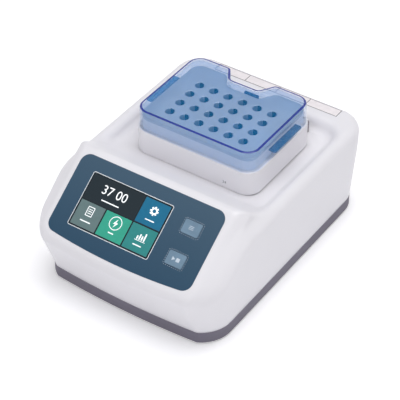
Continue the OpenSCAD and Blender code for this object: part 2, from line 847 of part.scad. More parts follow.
module counterweight() {
    r = 30;
    color("#8f8458") translate([0, block_y, web_z + web_flange]) difference() {
        intersection() {
            cylinder(r = r, h = web_h - web_flange);
            union() {
                translate([-r, -r, -1]) cube([r - 6, 2 * r, web_h]);
                cylinder(d = 26, h = web_h);
            }
        }
        translate([orbit_r, 0, -1]) cylinder(d = pin_d + 2 * run_fit, h = web_h + 2);
        for (s = [-1, 1]) translate([-11, s * 9, -1]) cylinder(d = 3.4, h = web_h + 2);
    }
}

module idler_housings() {
    color("#b4b8bd") at_idlers() translate([0, 0, plate_top]) difference() {
        cylinder(d = bearing_od + 2 * housing_wall - 4, h = housing_top - plate_top);
        translate([0, 0, -1]) cylinder(d = bearing_od - 2 * bore_step, h = housing_top);
        for (z = [-1, housing_top - plate_top - bearing_w])
            translate([0, 0, z]) cylinder(d = bearing_od + 2 * run_fit, h = bearing_w + 1);
    }
}

module idler_bearings() {
    color("#d9dbde") at_idlers() for (z = [plate_top, housing_top - bearing_w])
        translate([0, 0, z]) bearing(bearing_od, idler_d + 2 * run_fit, bearing_w);
}

module idler_crank(i) {
    p = idler_at[i];
    color("#d2d5d9") translate([p[0], p[1], 0]) {
        translate([0, 0, plate_top - 1]) cylinder(d = idler_d, h = web_z - plate_top + 1);
        translate([0, 0, web_z]) cylinder(d = crank_web_d, h = web_h);
        translate([orbit_r, 0, web_z + web_h])
            cylinder(d = idler_pin_d, h = hub_h + run_gap - 1);
    }
}

module idler_left() idler_crank(0);
module idler_right() idler_crank(1);
module idler_rear() idler_crank(2);

// Platform. At rest it lies one orbit radius to the right.

module on_platform() {
    translate([orbit_r, block_y, 0]) children();
}

module platform_bearing() {
    color("#d9dbde") on_platform() translate([0, 0, hub_z + 1])
        bearing(bearing_od, pin_d + 2 * run_fit, bearing_w);
}

module platform_plate() {
    color("#bfc3c8") difference() {
        union() {
            on_platform() {
                translate([0, 0, platform_z]) slab(platform_w, platform_d, platform_t, 12);
                translate([0, 0, hub_z]) cylinder(d = bearing_od + 12, h = hub_h);
            }
            at_idlers() translate([orbit_r, 0, hub_z]) cylinder(d = crank_web_d, h = hub_h);
        }
        on_platform() {
            translate([0, 0, hub_z - 1]) cylinder(d = bearing_od + 2 * run_fit,
                                                  h = bearing_w + 2);
            translate([0, 0, hub_z]) cylinder(d = bearing_od - 4, h = hub_h);
        }
        at_idlers() translate([orbit_r, 0, hub_z - 1])
            cylinder(d = idler_pin_d + 2 * run_fit, h = hub_h + 1);
    }
}

module heat_sink() {
    fin_t = 1.8;
    step = (sink_w - fin_t) / (fin_n - 1);
    color("#a4a8ad") on_platform() {
        translate([-sink_w / 2, -sink_d / 2, sink_top - sink_base])
            cube([sink_w, sink_d, sink_base]);
        for (i = [0 : fin_n - 1]) translate([-sink_w / 2 + i * step, -sink_d / 2, fin_z])
            cube([fin_t, sink_d, fin_h + eps]);
    }
}

module peltier_modules() {
    color("#e6e6e2") on_platform() for (sx = [-1, 1])
        translate([sx * peltier_x - peltier_w / 2, -peltier_w / 2, sink_top])
            cube([peltier_w, peltier_w, peltier_t]);
}

module thermal_plate() {
    color("#c7cacf") on_platform() difference() {
        translate([0, 0, block_seat - thermal_t]) slab(thermal_w, thermal_d, thermal_t, 5);
        for (sx = [-1, 1]) translate([sx * dowel_x, 0, block_seat - thermal_t + 1])
            cylinder(d = dowel_d + 2 * run_fit, h = thermal_t);
    }
}

module locating_dowels() {
    color("#dadce0") on_platform() for (sx = [-1, 1])
        translate([sx * dowel_x, 0, block_seat - thermal_t + 1]) {
            cylinder(d = dowel_d, h = thermal_t - 1 + dowel_h - 1);
            translate([0, 0, thermal_t + dowel_h - 2])
                cylinder(d1 = dowel_d, d2 = dowel_d - 2, h = 1);
        }
}

// Exchangeable block

module at_wells() {
    for (i = [0 : well_cols - 1]) for (j = [0 : well_rows - 1])
        translate([(i - (well_cols - 1) / 2) * well_pitch,
                   (j - (well_rows - 1) / 2) * well_pitch, 0]) children();
}

// Upper outline of the block and the lid, with the notch in its rear edge
module notched_outline(w, d, r, mouth, depth) {
    x0 = mouth / 2;
    x1 = x0 - notch_flare;
    translate([0, lid_y - block_y]) polygon(rounded(
        [[-w / 2, -d / 2], [w / 2, -d / 2], [w / 2, d / 2], [x0, d / 2], [x1, d / 2 - depth],
         [-x1, d / 2 - depth], [-x0, d / 2], [-w / 2, d / 2]],
        [r, r, r, notch_r, notch_r, notch_r, notch_r, r]));
}

module tube_block() {
    clear = lid_wall + lid_gap;
    color("#ccd0d6") on_platform() difference() {
        union() {
            translate([0, 0, block_seat]) slab(block_w, block_d, block_h, 6);
            translate([0, 0, flange_z]) linear_extrude(flange_t)
                notched_outline(top_w, top_d, lid_r - clear, notch_w + 2 * clear, notch_d);
        }
        at_wells() {
            translate([0, 0, block_top - well_depth]) cylinder(d = well_d, h = well_depth + 1);
            translate([0, 0, block_top - well_rim])
                cylinder(d1 = well_d, d2 = well_d + 2 * well_rim + 0.2, h = well_rim + 0.1);
        }
        for (sx = [-1, 1]) translate([sx * dowel_x, 0, block_seat - 1])
            cylinder(d = dowel_d + 2 * run_fit, h = 1 + dowel_h + 0.5);
    }
}

// The skirt's screw tabs stand just under the block's flange
module at_tabs() {
    for (sx = [-1, 1]) for (sy = [-1, 1])
        translate([sx * (block_w + top_w) / 4, sy * (block_d / 2 - 12), 0]) children();
}

module block_skirt() {
    clear = lid_wall + lid_gap;
    color("#f0eff4") on_platform() difference() {
        union() {
            difference() {
                union() {
                    translate([0, lid_y - block_y, skirt_z])
                        slab(skirt_w, skirt_d, skirt_h, lid_r + lid_ledge);
                    translate([0, 0, ledge_z - eps]) linear_extrude(flange_z - ledge_z + eps)
                        notched_outline(top_w, top_d, lid_r - clear, notch_w + 2 * clear,
                                        notch_d);
                }
                translate([0, lid_y - block_y, skirt_z - 1])
                    slab(skirt_w - 2 * skirt_wall, skirt_d - 2 * skirt_wall,
                         skirt_h + 1 - skirt_wall, lid_r + lid_ledge - skirt_wall);
                translate([0, 0, skirt_z]) linear_extrude(flange_z - skirt_z + 1)
                    notched_outline(top_w - 2 * skirt_wall, top_d - 2 * skirt_wall,
                                    lid_r - clear - skirt_wall,
                                    notch_w + 2 * (clear + skirt_wall), notch_d);
            }
            at_tabs() translate([0, 0, flange_z - tab_t])
                slab((top_w - block_w) / 2 - 2 * tab_gap, 12, tab_t, 2);
        }
        at_tabs() translate([0, 0, flange_z - tab_t - 1])
            cylinder(d = tab_screw_d + 0.4, h = tab_t + 2);
    }
}

module skirt_screws() {
    color("#9a9da2") on_platform() at_tabs() translate([0, 0, flange_z - tab_t]) {
        cylinder(d = tab_screw_d, h = tab_t);
        translate([0, 0, -2]) cylinder(d = 2 * tab_screw_d, h = 2);
    }
}

module lid_catch() {
    color("#33415c") on_platform()
        translate([-9.5, lid_y - block_y + skirt_d / 2 - 7, ledge_z])
            cube([19, 3.5, 4]);
}

module lid() {
    inner_w = lid_w - 2 * lid_wall;
    inner_d = lid_d - 2 * lid_wall;
    color("#83a0cd", 0.45) on_platform() {
        translate([0, 0, ledge_z]) difference() {
            linear_extrude(lid_h) notched_outline(lid_w, lid_d, lid_r, notch_w, notch_d);
            translate([0, 0, -1]) linear_extrude(lid_h + 1 - lid_wall)
                notched_outline(inner_w, inner_d, lid_r - lid_wall,
                                notch_w + 2 * lid_wall, notch_d);
        }
        for (sx = [-1, 1])
            translate([sx * (lid_w / 2 + grip_reach / 2 - 0.5), lid_y - block_y, grip_z])
                slab(grip_reach + 1, grip_l, grip_t, 2);
    }
}

// Rear fittings. On the rear wall x runs to the right and z into the machine.

module on_rear(x, z) {
    translate([x, rear_y, z]) rotate([90, 0, 0]) children();
}

module flanged_body(w, h, depth) {
    slab(w + 2 * bezel, h + 2 * bezel, bezel_t, 1.3);
    slab(w, h, depth, 0.8);
}

module mains_inlet() {
    color("#26272a") on_rear(inlet_x, inlet_z) difference() {
        flanged_body(inlet_w, inlet_h, inlet_depth);
        translate([0, 4, -1]) slab(24, 16, socket_depth + 1, 2);
        translate([0, -10.5, -1]) slab(20, fuse_h + 0.6, 19, 0.8);
    }
}

module inlet_pins() {
    color("#c8b27a") on_rear(inlet_x, inlet_z) for (p = [[-7, 2], [0, 7], [7, 2]])
        translate([p[0] - 1, p[1] - 2, 6]) cube([2, 4, socket_depth - 6]);
}

module fuse_drawer() {
    color("#1f2022") on_rear(inlet_x, inlet_z) difference() {
        translate([0, -10.5, 0.2]) slab(19.4, fuse_h, 17.5, 0.6);
        translate([-4, -12, -0.5]) cube([8, 3, 1.8]);
    }
}

module switch_frame() {
    color("#26272a") on_rear(inlet_x, rocker_z) difference() {
        flanged_body(switch_w, switch_h, rocker_depth + 8);
        translate([0, 0, -1]) slab(rocker_w + 0.6, 2 * rocker_r + 0.6, rocker_depth + 7, 0.5);
    }
}

module power_rocker() {
    color("#1d1e20") on_rear(inlet_x, rocker_z) translate([-rocker_w / 2, 0, 0])
        rotate([90, 0, 90]) linear_extrude(rocker_w) intersection() {
            polygon([[-12, 3], [0, 1.6], [12, -1], [12, 9], [4, 11], [-4, 11], [-12, 9]]);
            translate([0, rocker_depth]) circle(r = rocker_r);
        }
}

module fan_frame() {
    color("#2a2b2e") translate([-fan_x, rear_y - wall - fan_t, fan_z]) rotate([-90, 0, 0])
        difference() {
            slab(fan_w, fan_w, fan_t, 4);
            translate([0, 0, -1]) cylinder(d = fan_w - 4, h = fan_t - 1.5);
            for (i = [0 : 3]) rotate(i * 90 + 45) translate([0, 0, -1]) intersection() {
                tube(fan_w - 7, 26, fan_t + 2);
                translate([2, 2, 0]) cube([fan_w, fan_w, fan_t + 2]);
            }
            for (sx = [-1, 1]) for (sy = [-1, 1])
                translate([sx * (fan_w / 2 - 5), sy * (fan_w / 2 - 5), -1])
                    cylinder(d = 4.2, h = fan_t + 2);
            translate([0, 0, fan_t - 5]) cylinder(d = 3 + 2 * run_fit, h = 4);
        }
}

module fan_screws() {
    color("#8d9096") for (sx = [-1, 1]) for (sy = [-1, 1])
        translate([-fan_x + sx * (fan_w / 2 - 5), rear_y - wall, fan_z + sy * (fan_w / 2 - 5)])
            rotate([90, 0, 0]) {
                cylinder(d = 3.8, h = fan_t);
                translate([0, 0, fan_t]) cylinder(d = 6.5, h = 2);
            }
}

module fan_impeller() {
    color("#3a3b3f") translate([-fan_x, rear_y - wall - fan_t, fan_z]) rotate([-90, 0, 0]) {
        translate([0, 0, 1]) cylinder(d = 24, h = fan_t - 4.5);
        translate([0, 0, fan_t - 3.5 - eps]) cylinder(d = 3, h = 2);
        for (i = [0 : 6]) rotate(i * 360 / 7) translate([10, -0.7, 2.5]) rotate([35, 0, 0])
            cube([fan_w / 2 - 13.5, 1.4, 8]);
    }
}

module pin_guide() {
    color("#d9dade") translate([pin_x, pin_y, pan_z - wall - 14]) difference() {
        cylinder(d = 12, h = 14);
        translate([0, 0, release_stroke - 1]) cylinder(d = release_d + 2 * run_fit, h = 16);
    }
}

module release_pin() {
    crown = release_d / 2;
    color("#b9b3b5") translate([pin_x, pin_y, pan_z - release_reach]) {
        cylinder(d = release_d, h = release_reach + release_h - crown);
        translate([0, 0, release_reach + release_h - crown]) intersection() {
            sphere(r = crown);
            translate([0, 0, crown / 2]) cube([release_d + 1, release_d + 1, crown], center = true);
        }
    }
}

base_tray();
rubber_feet();
housing_shell();
housing_screws();
control_overlay();
display_glass();
display_module();
key_board();
main_board();
board_components();
board_standoffs();
power_supply();
drive_plate();
plate_pillars();
plate_screws();
motor_can();
spindle_housing();
spindle_bearings();
idler_housings();
idler_bearings();
drive_belt();
mains_inlet();
inlet_pins();
switch_frame();
fan_frame();
fan_screws();
pin_guide();
lid_catch();
motor_shaft();
motor_pulley();
drive_spindle();
spindle_pulley();
counterweight();
idler_left();
idler_right();
idler_rear();
platform_bearing();
platform_plate();
heat_sink();
peltier_modules();
thermal_plate();
locating_dowels();
tube_block();
block_skirt();
skirt_screws();
lid();
menu_key();
run_key();
power_rocker();
fuse_drawer();
fan_impeller();
release_pin();
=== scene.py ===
import json
import math

import bmesh
import bpy
import numpy as np
from bpy.props import FloatProperty, FloatVectorProperty, PointerProperty
from mathutils import Matrix, Vector
from mathutils.geometry import tessellate_polygon


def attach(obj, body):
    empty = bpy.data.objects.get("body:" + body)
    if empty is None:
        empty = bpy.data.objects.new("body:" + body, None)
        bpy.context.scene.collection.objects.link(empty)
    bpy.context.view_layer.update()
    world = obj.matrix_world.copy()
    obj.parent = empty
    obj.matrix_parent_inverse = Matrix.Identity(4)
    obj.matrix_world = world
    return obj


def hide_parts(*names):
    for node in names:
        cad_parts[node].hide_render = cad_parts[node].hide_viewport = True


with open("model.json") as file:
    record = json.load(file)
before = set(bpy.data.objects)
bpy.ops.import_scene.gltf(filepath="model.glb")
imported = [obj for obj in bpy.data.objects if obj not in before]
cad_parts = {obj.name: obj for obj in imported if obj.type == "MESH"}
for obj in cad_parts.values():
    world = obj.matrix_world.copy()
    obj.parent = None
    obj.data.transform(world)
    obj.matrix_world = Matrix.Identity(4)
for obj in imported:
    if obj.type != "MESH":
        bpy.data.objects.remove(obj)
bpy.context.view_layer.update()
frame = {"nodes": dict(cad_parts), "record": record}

bl_info = {
    "name": "Bench thermal mixer",
    "version": (1, 0, 0),
    "blender": (4, 5, 0),
    "location": "View3D > Sidebar > Mixer",
    "description": "Dresses the packed thermal mixer with its moulded, printed and clear pieces",
    "category": "Add Mesh",
}

MM = 0.001


# ---- colours and sizes

def srgb(code):
    """Turns an sRGB hex value into linear red, green, blue and a full alpha."""
    c = np.array([int(code[i:i + 2], 16) / 255 for i in (0, 2, 4)])
    lin = np.where(c <= 0.04045, c / 12.92, ((c + 0.055) / 1.055) ** 2.4)
    return (*lin.tolist(), 1.0)


def length(name, description, default):
    """A length in metres that shows in the sidebar."""
    return FloatProperty(name=name, description=description, default=default, min=0.0,
                         unit="LENGTH", precision=4)


def colour(name, description, code):
    """A colour that shows in the sidebar, given as its sRGB hex value."""
    return FloatVectorProperty(name=name, description=description, size=3,
                               default=srgb(code)[:3], min=0.0, max=1.0, subtype="COLOR")


class MixerSizes(bpy.types.PropertyGroup):
    """Sizes of the dressed pieces that can be changed by themselves."""
    rail_round: length("Rail rounding", "Rounding along the side rails and rear deck", 0.012)
    rail_inner: length("Inner rail rounding", "Rounding where the recess begins", 0.007)
    lip_round: length("Lip rounding", "Rounding over the front lip", 0.014)
    pod_round: length("Pod rounding", "Rounding round the face that carries the panel", 0.010)
    pod_blend: length("Pod blend", "Hollow blend between the pod and the rails", 0.009)
    skin: length("Casing skin", "Wall of the moulded casing", 0.0022)
    lid_edge: length("Lid edge", "Rounding round the top of the lid", 0.0024)
    skirt_edge: length("Skirt edge", "Rounding of the skirt's upper edge", 0.0012)


class MixerColours(bpy.types.PropertyGroup):
    """Colours of the finishes."""
    casing: colour("Casing", "Moulded casing", "E9E8EC")
    tray: colour("Tray", "Moulded base tray", "6E6A78")
    panel_top: colour("Panel, upper", "Upper edge of the printed panel", "37556B")
    panel_low: colour("Panel, lower", "Lower edge of the printed panel", "1A4560")
    lid: colour("Lid", "Tint of the clear lid", "18A0F0")
    lid_rim: colour("Lid edge", "Depth of colour along the lid's edges", "142A8C")
    block: colour("Block", "Anodised tube block", "C3CBD6")


def sizes():
    """The sizes that the sidebar shows."""
    return bpy.context.scene.mixer_sizes


def tone(name):
    """One of the colours that the sidebar shows, with a full alpha."""
    return (*getattr(bpy.context.scene.mixer_colours, name)[:3], 1.0)


# ---- levels and places, in mm

RAIL, PAN, SPLIT = 126.0, 111.0, 18.0  # rails and rear deck, recess floor, joint with the tray
FRONT, REAR = -174.0, 174.0  # front lip and rear wall
TRAY_FRONT = -151.0  # front of the tray at the joint
SIDE, SIDE_RISE = (119.0, 126.0), 82.0  # half width at the joint, and at the ridge so far above it
SIDE_BLEND = 1.5  # softening of the ridge
CORNER, CORNER_RISE = (40.0, 50.0), 62.0  # front corners' rounding, which grows over this height
REAR_CORNER = 35.0
FRONT_BOW = 2200.0  # twice the radius of the front wall's bow in plan
WALL_LEAN, LEAN_LOSS = 0.384, 0.067  # the front wall's lean per mm up, and 1 less its cosine

TILT = math.radians(35.4)  # slope of the control panel
PANEL_C = (-124.57, 115.46)  # middle of the control panel in (y, z)
PANEL_W, PANEL_H, PANEL_R = 194.0, 102.0, 12.0
PANEL_BOW = 784.0  # radius of the panel's bowed lower edge
SLOPE_DROP = 10.2  # slope beside the pod, below the panel face
SLOPE_BLEND = 50.0  # rounding between that slope and the rails

RECESS = (105.0, 96.0)  # half width and half depth of the recess's floor
RECESS_Y, RECESS_R = 36.0, 20.0
DRAFT = 3.0  # the recess's walls lean out by 1 mm in this many
DRAFT_COS, DRAFT_SIN = 0.949, 0.316
RECESS_FOOT = 5.0  # rounding between those walls and the floor

POD_BACK = (0.571, 0.821)  # normal (y, z) of the pod's rear slope
POD_BACK_Y = -21.0  # where that slope meets the level of the recess's floor
POD_CREST, CREST_COS = 12.0, 0.3385  # rounding and cosine between face and rear slope
POD_SIDE = (0.793, 0.610)  # normal of the pod's slanted side, across and along the face's
POD_HALF, POD_FOOT = 105.0, 115.0  # half width of the pod at its face and below it
POD_SIDE_ROUND = 6.0  # rounding between the slanted and the upright side
POD_RIM_COS = 0.5  # cosine between the pod's side and its crest

LIP_FROM, LIP_SPAN = -60.0, 60.0  # the lip's rounding takes over from this y, over this span
# cosine between wall and roof: LIP_COS - SIDE_COS in the middle of the front, -SIDE_COS beside it
LIP_COS, SIDE_COS = 0.318, 0.070

VENT_X, VENT_Z = -57.0, 83.0  # middle of the fan's slots
VENT_STEP, VENT_COUNT = 5.0, 5  # their spacing, and how many stand each side of the middle
VENT_HALF, VENT_TALL = 1.3, 22.0  # half width, and half height of the middle one
INLET = (68.0, 44.0, 14.5, 16.5)  # opening in the rear wall: x, z, half width, half height
SWITCH = (68.0, 80.0, 9.5, 13.7)

BLOCK = (1.5, 44.0)  # middle of the tube block at rest
OPENING = (65.0, 45.0)  # half sizes of the opening under it
COLLAR_W, COLLAR_H = 2.5, 2.0  # collar round that opening
PITCH, WELL_R = 20.0, 5.75  # spacing of the wells, and a radius just outside their walls
LID_Y = 48.5  # middle of the lid and the skirt
SKIRT_FRONT = 65.5  # from that middle to the skirt's front face

SCREEN = (-19.6, 1.5, 54.0, 32.5)  # window on the panel: middle and half sizes
KEY_X, MENU_Y, RUN_Y = 65.8, 20.0, -18.0
KEY_HALF = (11.5, 8.5)
FILM_TOP, CELLS, BORDERS, SIGNS, KEY_SIGNS = 0.3, 0.34, 0.36, 0.38, 1.56  # layers over the panel

UP = np.array([0, 0, 1.0])


# ---- outlines

def arc(x, y, r, start, end, count):
    """Points on a circle, stepping evenly between two angles."""
    a = np.linspace(start, end, count)
    return np.stack([x + r * np.cos(a), y + r * np.sin(a)], 1)


def rectangle(x0, y0, x1, y1):
    """Corners of a rectangle, counterclockwise."""
    return [(x0, y0), (x1, y0), (x1, y1), (x0, y1)]


def rect_at(x, y, half_w, half_h):
    """Corners of a rectangle round its middle."""
    return rectangle(x - half_w, y - half_h, x + half_w, y + half_h)


def corner_points(corners, radii, count):
    """Rounds each corner of a closed outline: the arc's centre lies on the corner's bisector at
    radius / sin(half the corner's angle), and its points step evenly round that centre."""
    pts = np.asarray(corners, float)
    out = []
    for p, a, b, r in zip(pts, np.roll(pts, 1, 0), np.roll(pts, -1, 0), radii):
        u, v = (a - p) / np.linalg.norm(a - p), (b - p) / np.linalg.norm(b - p)
        half = math.acos(np.clip(u @ v, -1, 1)) / 2
        centre = p + (u + v) / np.linalg.norm(u + v) * r / math.sin(half)
        s, e = p + u * r / math.tan(half) - centre, p + v * r / math.tan(half) - centre
        start = math.atan2(s[1], s[0])
        turn = math.atan2(s[0] * e[1] - s[1] * e[0], s @ e)
        ang = start + turn * np.linspace(0, 1, count)
        out.append(centre + r * np.stack([np.cos(ang), np.sin(ang)], 1))
    return np.concatenate(out)


def outline(corners, radii, t=0.0, count=9):
    """Counterclockwise outline with its sides moved inwards by t along their normals, with outer
    corner radii less t and inner corner radii plus t."""
    pts = np.asarray(corners, float)
    side = pts - np.roll(pts, 1, 0)
    side /= np.linalg.norm(side, axis=1)[:, None]
    n1 = np.stack([-side[:, 1], side[:, 0]], 1)
    n2 = np.roll(n1, -1, 0)
    moved = pts + t * (n1 + n2) / (1 + (n1 * n2).sum(1))[:, None]
    convex = n1[:, 0] * n2[:, 1] - n1[:, 1] * n2[:, 0] > 0
    r = np.where(convex, np.asarray(radii) - t, np.asarray(radii) + t)
    return corner_points(moved, np.maximum(r, 0.05), count)


def to_panel(pts):
    """Panel coordinates (x across, y up the slope, z outwards, in mm) to the machine's metres."""
    p = np.asarray(pts, float)
    y, z = p[:, 1], p[:, 2]
    c, s = math.cos(TILT), math.sin(TILT)
    return np.stack([p[:, 0], PANEL_C[0] + c * y - s * z, PANEL_C[1] + s * y + c * z], 1) * MM


# ---- meshes

def grid_faces(rows, cols, closed, keep=None):
    """Quads of a grid of rows by cols points. closed joins the last column to the first. keep is a
    mask of the quads that stay."""
    r = np.arange(rows - 1)[:, None]
    c = np.arange(cols if closed else cols - 1)[None]
    n = (c + 1) % cols
    q = np.stack(np.broadcast_arrays(r * cols + c, r * cols + n, (r + 1) * cols + n,
                                     (r + 1) * cols + c), -1)
    return (q[keep] if keep is not None else q.reshape(-1, 4)).reshape(-1, 4)


def placed(name, data):
    """New object with this data, linked to the scene."""
    obj = bpy.data.objects.new(name, data)
    bpy.context.scene.collection.objects.link(obj)
    return obj


def add_mesh(name, verts, faces, finish, slot, replaces=(), crease=30.0):
    """Puts points in metres and their faces into a new object that rides on its slot's body. Edges
    sharper than crease degrees stay sharp, and the rest are shaded smooth."""
    body = body_of(slot)
    mesh = bpy.data.meshes.new(name)
    mesh.from_pydata(np.asarray(verts).tolist(), [], [list(map(int, f)) for f in faces])
    mesh.update()
    mesh.validate()
    mesh.shade_smooth()
    mesh.set_sharp_from_angle(angle=math.radians(crease))
    mesh.materials.append(finish)
    obj = placed(name, mesh)
    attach(obj, body)
    if replaces:
        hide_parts(*replaces)
    return obj


def stacked(rings):
    """Skin over a stack of closed rings with the same number of points: each ring is joined to the
    next by quads, and the first and last rings are closed by a face."""
    n = len(rings[0])
    verts = np.concatenate(rings)
    faces = [list(f) for f in grid_faces(len(rings), n, True)]
    faces.append(list(range(n))[::-1])
    faces.append([(len(rings) - 1) * n + i for i in range(n)])
    return verts, faces


def at_level(ring, z):
    """2-D points at one level, as 3-D points."""
    return np.column_stack([ring, np.full(len(ring), float(z))])


def rounded_rim(ring_at, z, r, steps=4, low=False):
    """Rings that turn over a rounded rim: the outline moves inwards by r (1 - cos a) while the
    level moves by r sin a, for a from 0 to a right angle."""
    rings = []
    for a in np.linspace(0, math.pi / 2, steps + 1):
        t, up = r * (1 - math.cos(a)), r * math.sin(a)
        rings.append(at_level(ring_at(t), z + r - up if low else z - r + up))
    return rings[::-1] if low else rings


def rounded(obj, width):
    """Small rounding along an object's sharp edges."""
    rim = obj.modifiers.new("edge", "BEVEL")
    rim.width, rim.segments, rim.limit_method = width, 2, "ANGLE"
    return rim


def dressed(node, finish, edge=0.0, crease=35.0):
    """Smooth-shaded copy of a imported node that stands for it: doubled points are joined, flat
    regions become single faces, and sharp edges get a rounding of the given width in m."""
    source = frame["nodes"][node]
    bm = bmesh.new()
    bm.from_mesh(source.data)
    bm.transform(source.matrix_world)
    bmesh.ops.remove_doubles(bm, verts=bm.verts, dist=2e-6)
    bmesh.ops.dissolve_limit(bm, angle_limit=math.radians(0.3), verts=bm.verts, edges=bm.edges)
    mesh = bpy.data.meshes.new(node + "_finished")
    bm.to_mesh(mesh)
    bm.free()
    mesh.materials.clear()
    mesh.materials.append(finish)
    mesh.polygons.foreach_set("material_index", [0] * len(mesh.polygons))
    mesh.shade_smooth()
    mesh.set_sharp_from_angle(angle=math.radians(crease))
    obj = placed(node + "_finished", mesh)
    if edge:
        rounded(obj, edge).angle_limit = math.radians(crease)
    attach(obj, body_of(node))
    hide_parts(node)


def body_of(node):
    """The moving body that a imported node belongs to."""
    bodies = frame["record"]["behaviour"]["bodies"]
    return next(b for b, nodes in bodies.items() if node in nodes)


def painted(nodes, finish):
    """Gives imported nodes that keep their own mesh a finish."""
    for node in nodes:
        mesh = frame["nodes"][node].data
        mesh.materials.clear()
        mesh.materials.append(finish)


def band(outer, inner):
    """Flat quads between two closed outlines with the same number of points."""
    n = len(outer)
    return np.concatenate([outer, inner]), [list(f) for f in grid_faces(2, n, True)]


def flat(shapes):
    """Joins shapes, each a pair of points and faces, into one."""
    verts, faces, start = [], [], 0
    for pts, fs in shapes:
        verts.append(np.asarray(pts, float))
        faces += [[start + i for i in f] for f in fs]
        start += len(pts)
    return np.concatenate(verts), faces


def plate(x0, y0, x1, y1, r=0.0):
    """Filled rectangle with rounded corners."""
    c = rectangle(x0, y0, x1, y1)
    pts = corner_points(c, [r] * 4, 6) if r else np.array(c, float)
    return pts, [list(range(len(pts)))]


def frame_of(x0, y0, x1, y1, r, t):
    """Outline of width t inside a rounded rectangle."""
    c = rectangle(x0, y0, x1, y1)
    return band(outline(c, [r] * 4, 0, 6), outline(c, [r] * 4, t, 6))


def pierced(outer, holes, low, high):
    """Plate between two levels whose outer outline and holes run counterclockwise: both faces are
    filled between the loops and every loop gets a wall."""
    loops = [np.asarray(v, float) for v in [outer] + holes]
    flat_pts = np.concatenate(loops)
    n = len(flat_pts)
    tris = np.array(tessellate_polygon([[(x, y, 0.0) for x, y in loop] for loop in loops]))
    a, b, c = flat_pts[tris[:, 0]], flat_pts[tris[:, 1]], flat_pts[tris[:, 2]]
    turn = (b[:, 0] - a[:, 0]) * (c[:, 1] - a[:, 1]) - (b[:, 1] - a[:, 1]) * (c[:, 0] - a[:, 0])
    tris = np.where((turn > 0)[:, None], tris, tris[:, ::-1])
    faces = tris.tolist() + (tris[:, ::-1] + n).tolist()
    for k, i in enumerate(np.split(np.arange(n), np.cumsum([len(v) for v in loops])[:-1])):
        j = np.roll(i, -1)
        wall = np.stack([i, i + n, j + n, j] if k == 0 else [i, j, j + n, i + n], 1)
        faces += wall.tolist()
    return np.concatenate([at_level(flat_pts, z) for z in (high, low)]), faces


def washer(x, y, r, hole, count=36, teeth=0, depth=0.0):
    """Ring or toothed ring: the outer radius falls by depth over half of each tooth."""
    a = np.linspace(0, 2 * math.pi, count, endpoint=False)
    rim = r - depth * (np.mod(a * teeth / (2 * math.pi) + 0.25, 1) > 0.5)
    return band(*[np.stack([x + q * np.cos(a), y + q * np.sin(a)], 1) for q in (rim, hole)])


def numerals(text, x, y, size):
    """Flat numerals centred on a point, made into a mesh at once. Returns 2-D points and faces."""
    curve = bpy.data.curves.new("numerals", "FONT")
    curve.body, curve.size, curve.align_x, curve.align_y = text, size, "CENTER", "CENTER"
    obj = placed("numerals", curve)
    mesh = bpy.data.meshes.new_from_object(obj.evaluated_get(
        bpy.context.evaluated_depsgraph_get()))
    pts = np.empty(len(mesh.vertices) * 3)
    mesh.vertices.foreach_get("co", pts)
    faces = [list(f.vertices) for f in mesh.polygons]
    bpy.data.objects.remove(obj)
    bpy.data.curves.remove(curve)
    bpy.data.meshes.remove(mesh)
    return pts.reshape(-1, 3)[:, :2] + (x, y), faces


def print_on_panel(name, shapes, level, finish, slot="control_overlay"):
    """Ink on the panel's plane, at a level in mm above it."""
    pts, faces = flat(shapes)
    add_mesh(name, to_panel(at_level(pts, level)), faces, finish, slot)


# ---- materials

def add(tree, kind, inputs=(), **settings):
    """Adds a shader node, sets its settings, and sets or links its inputs."""
    n = tree.nodes.new("ShaderNode" + kind)
    for key, value in settings.items():
        setattr(n, key, value)
    for key, value in dict(inputs).items():
        if isinstance(value, bpy.types.NodeSocket):
            tree.links.new(value, n.inputs[key])
        else:
            n.inputs[key].default_value = value
    return n


def finish_of(name, base, rough, tint=None, grit=None, **shader):
    """Material with a Principled shader. tint and grit hold what tinted and grain take. Returns
    the material, its tree and the shader."""
    mat = bpy.data.materials.new(name)
    mat.use_nodes = True
    tree = mat.node_tree
    tree.nodes.clear()
    s = add(tree, "BsdfPrincipled", {"Base Color": base, "Roughness": rough, **shader})
    add(tree, "OutputMaterial", {"Surface": s.outputs[0]})
    if tint:
        tinted(tree, s, base, *tint)
    if grit:
        grain(tree, s, *grit)
    return mat, tree, s


def grain(tree, shader, size_mm, height_mm, rough=None, detail=2.0, stretch=None):
    """Surface grain of a real size: noise of that wavelength lifts the surface by height and, where
    rough is given, varies the roughness between its two values. stretch scales each axis."""
    co = add(tree, "TexCoord").outputs["Object"]
    if stretch:
        co = add(tree, "Mapping", {"Vector": co, "Scale": stretch}).outputs["Vector"]
    noise = add(tree, "TexNoise",
                {"Vector": co, "Scale": 1 / (size_mm * MM), "Detail": detail}).outputs["Fac"]
    bump = add(tree, "Bump", {"Height": noise, "Strength": 1.0, "Distance": height_mm * MM})
    tree.links.new(bump.outputs["Normal"], shader.inputs["Normal"])
    if rough:
        var = add(tree, "MapRange", {"Value": noise, "From Min": 0.3, "From Max": 0.7,
                                     "To Min": rough[0], "To Max": rough[1]})
        tree.links.new(var.outputs["Result"], shader.inputs["Roughness"])


def tinted(tree, shader, base, size_mm, low, high):
    """Slow change over the surface between the colour times low and the colour times high."""
    co = add(tree, "TexCoord").outputs["Object"]
    noise = add(tree, "TexNoise", {"Vector": co, "Scale": 1 / (size_mm * MM), "Detail": 1.0})
    ramp = add(tree, "ValToRGB", {"Fac": noise.outputs["Fac"]})
    for stop, place, k in zip(ramp.color_ramp.elements, (0.35, 0.65), (low, high)):
        stop.position, stop.color = place, shade(base, k)
    tree.links.new(ramp.outputs["Color"], shader.inputs["Base Color"])


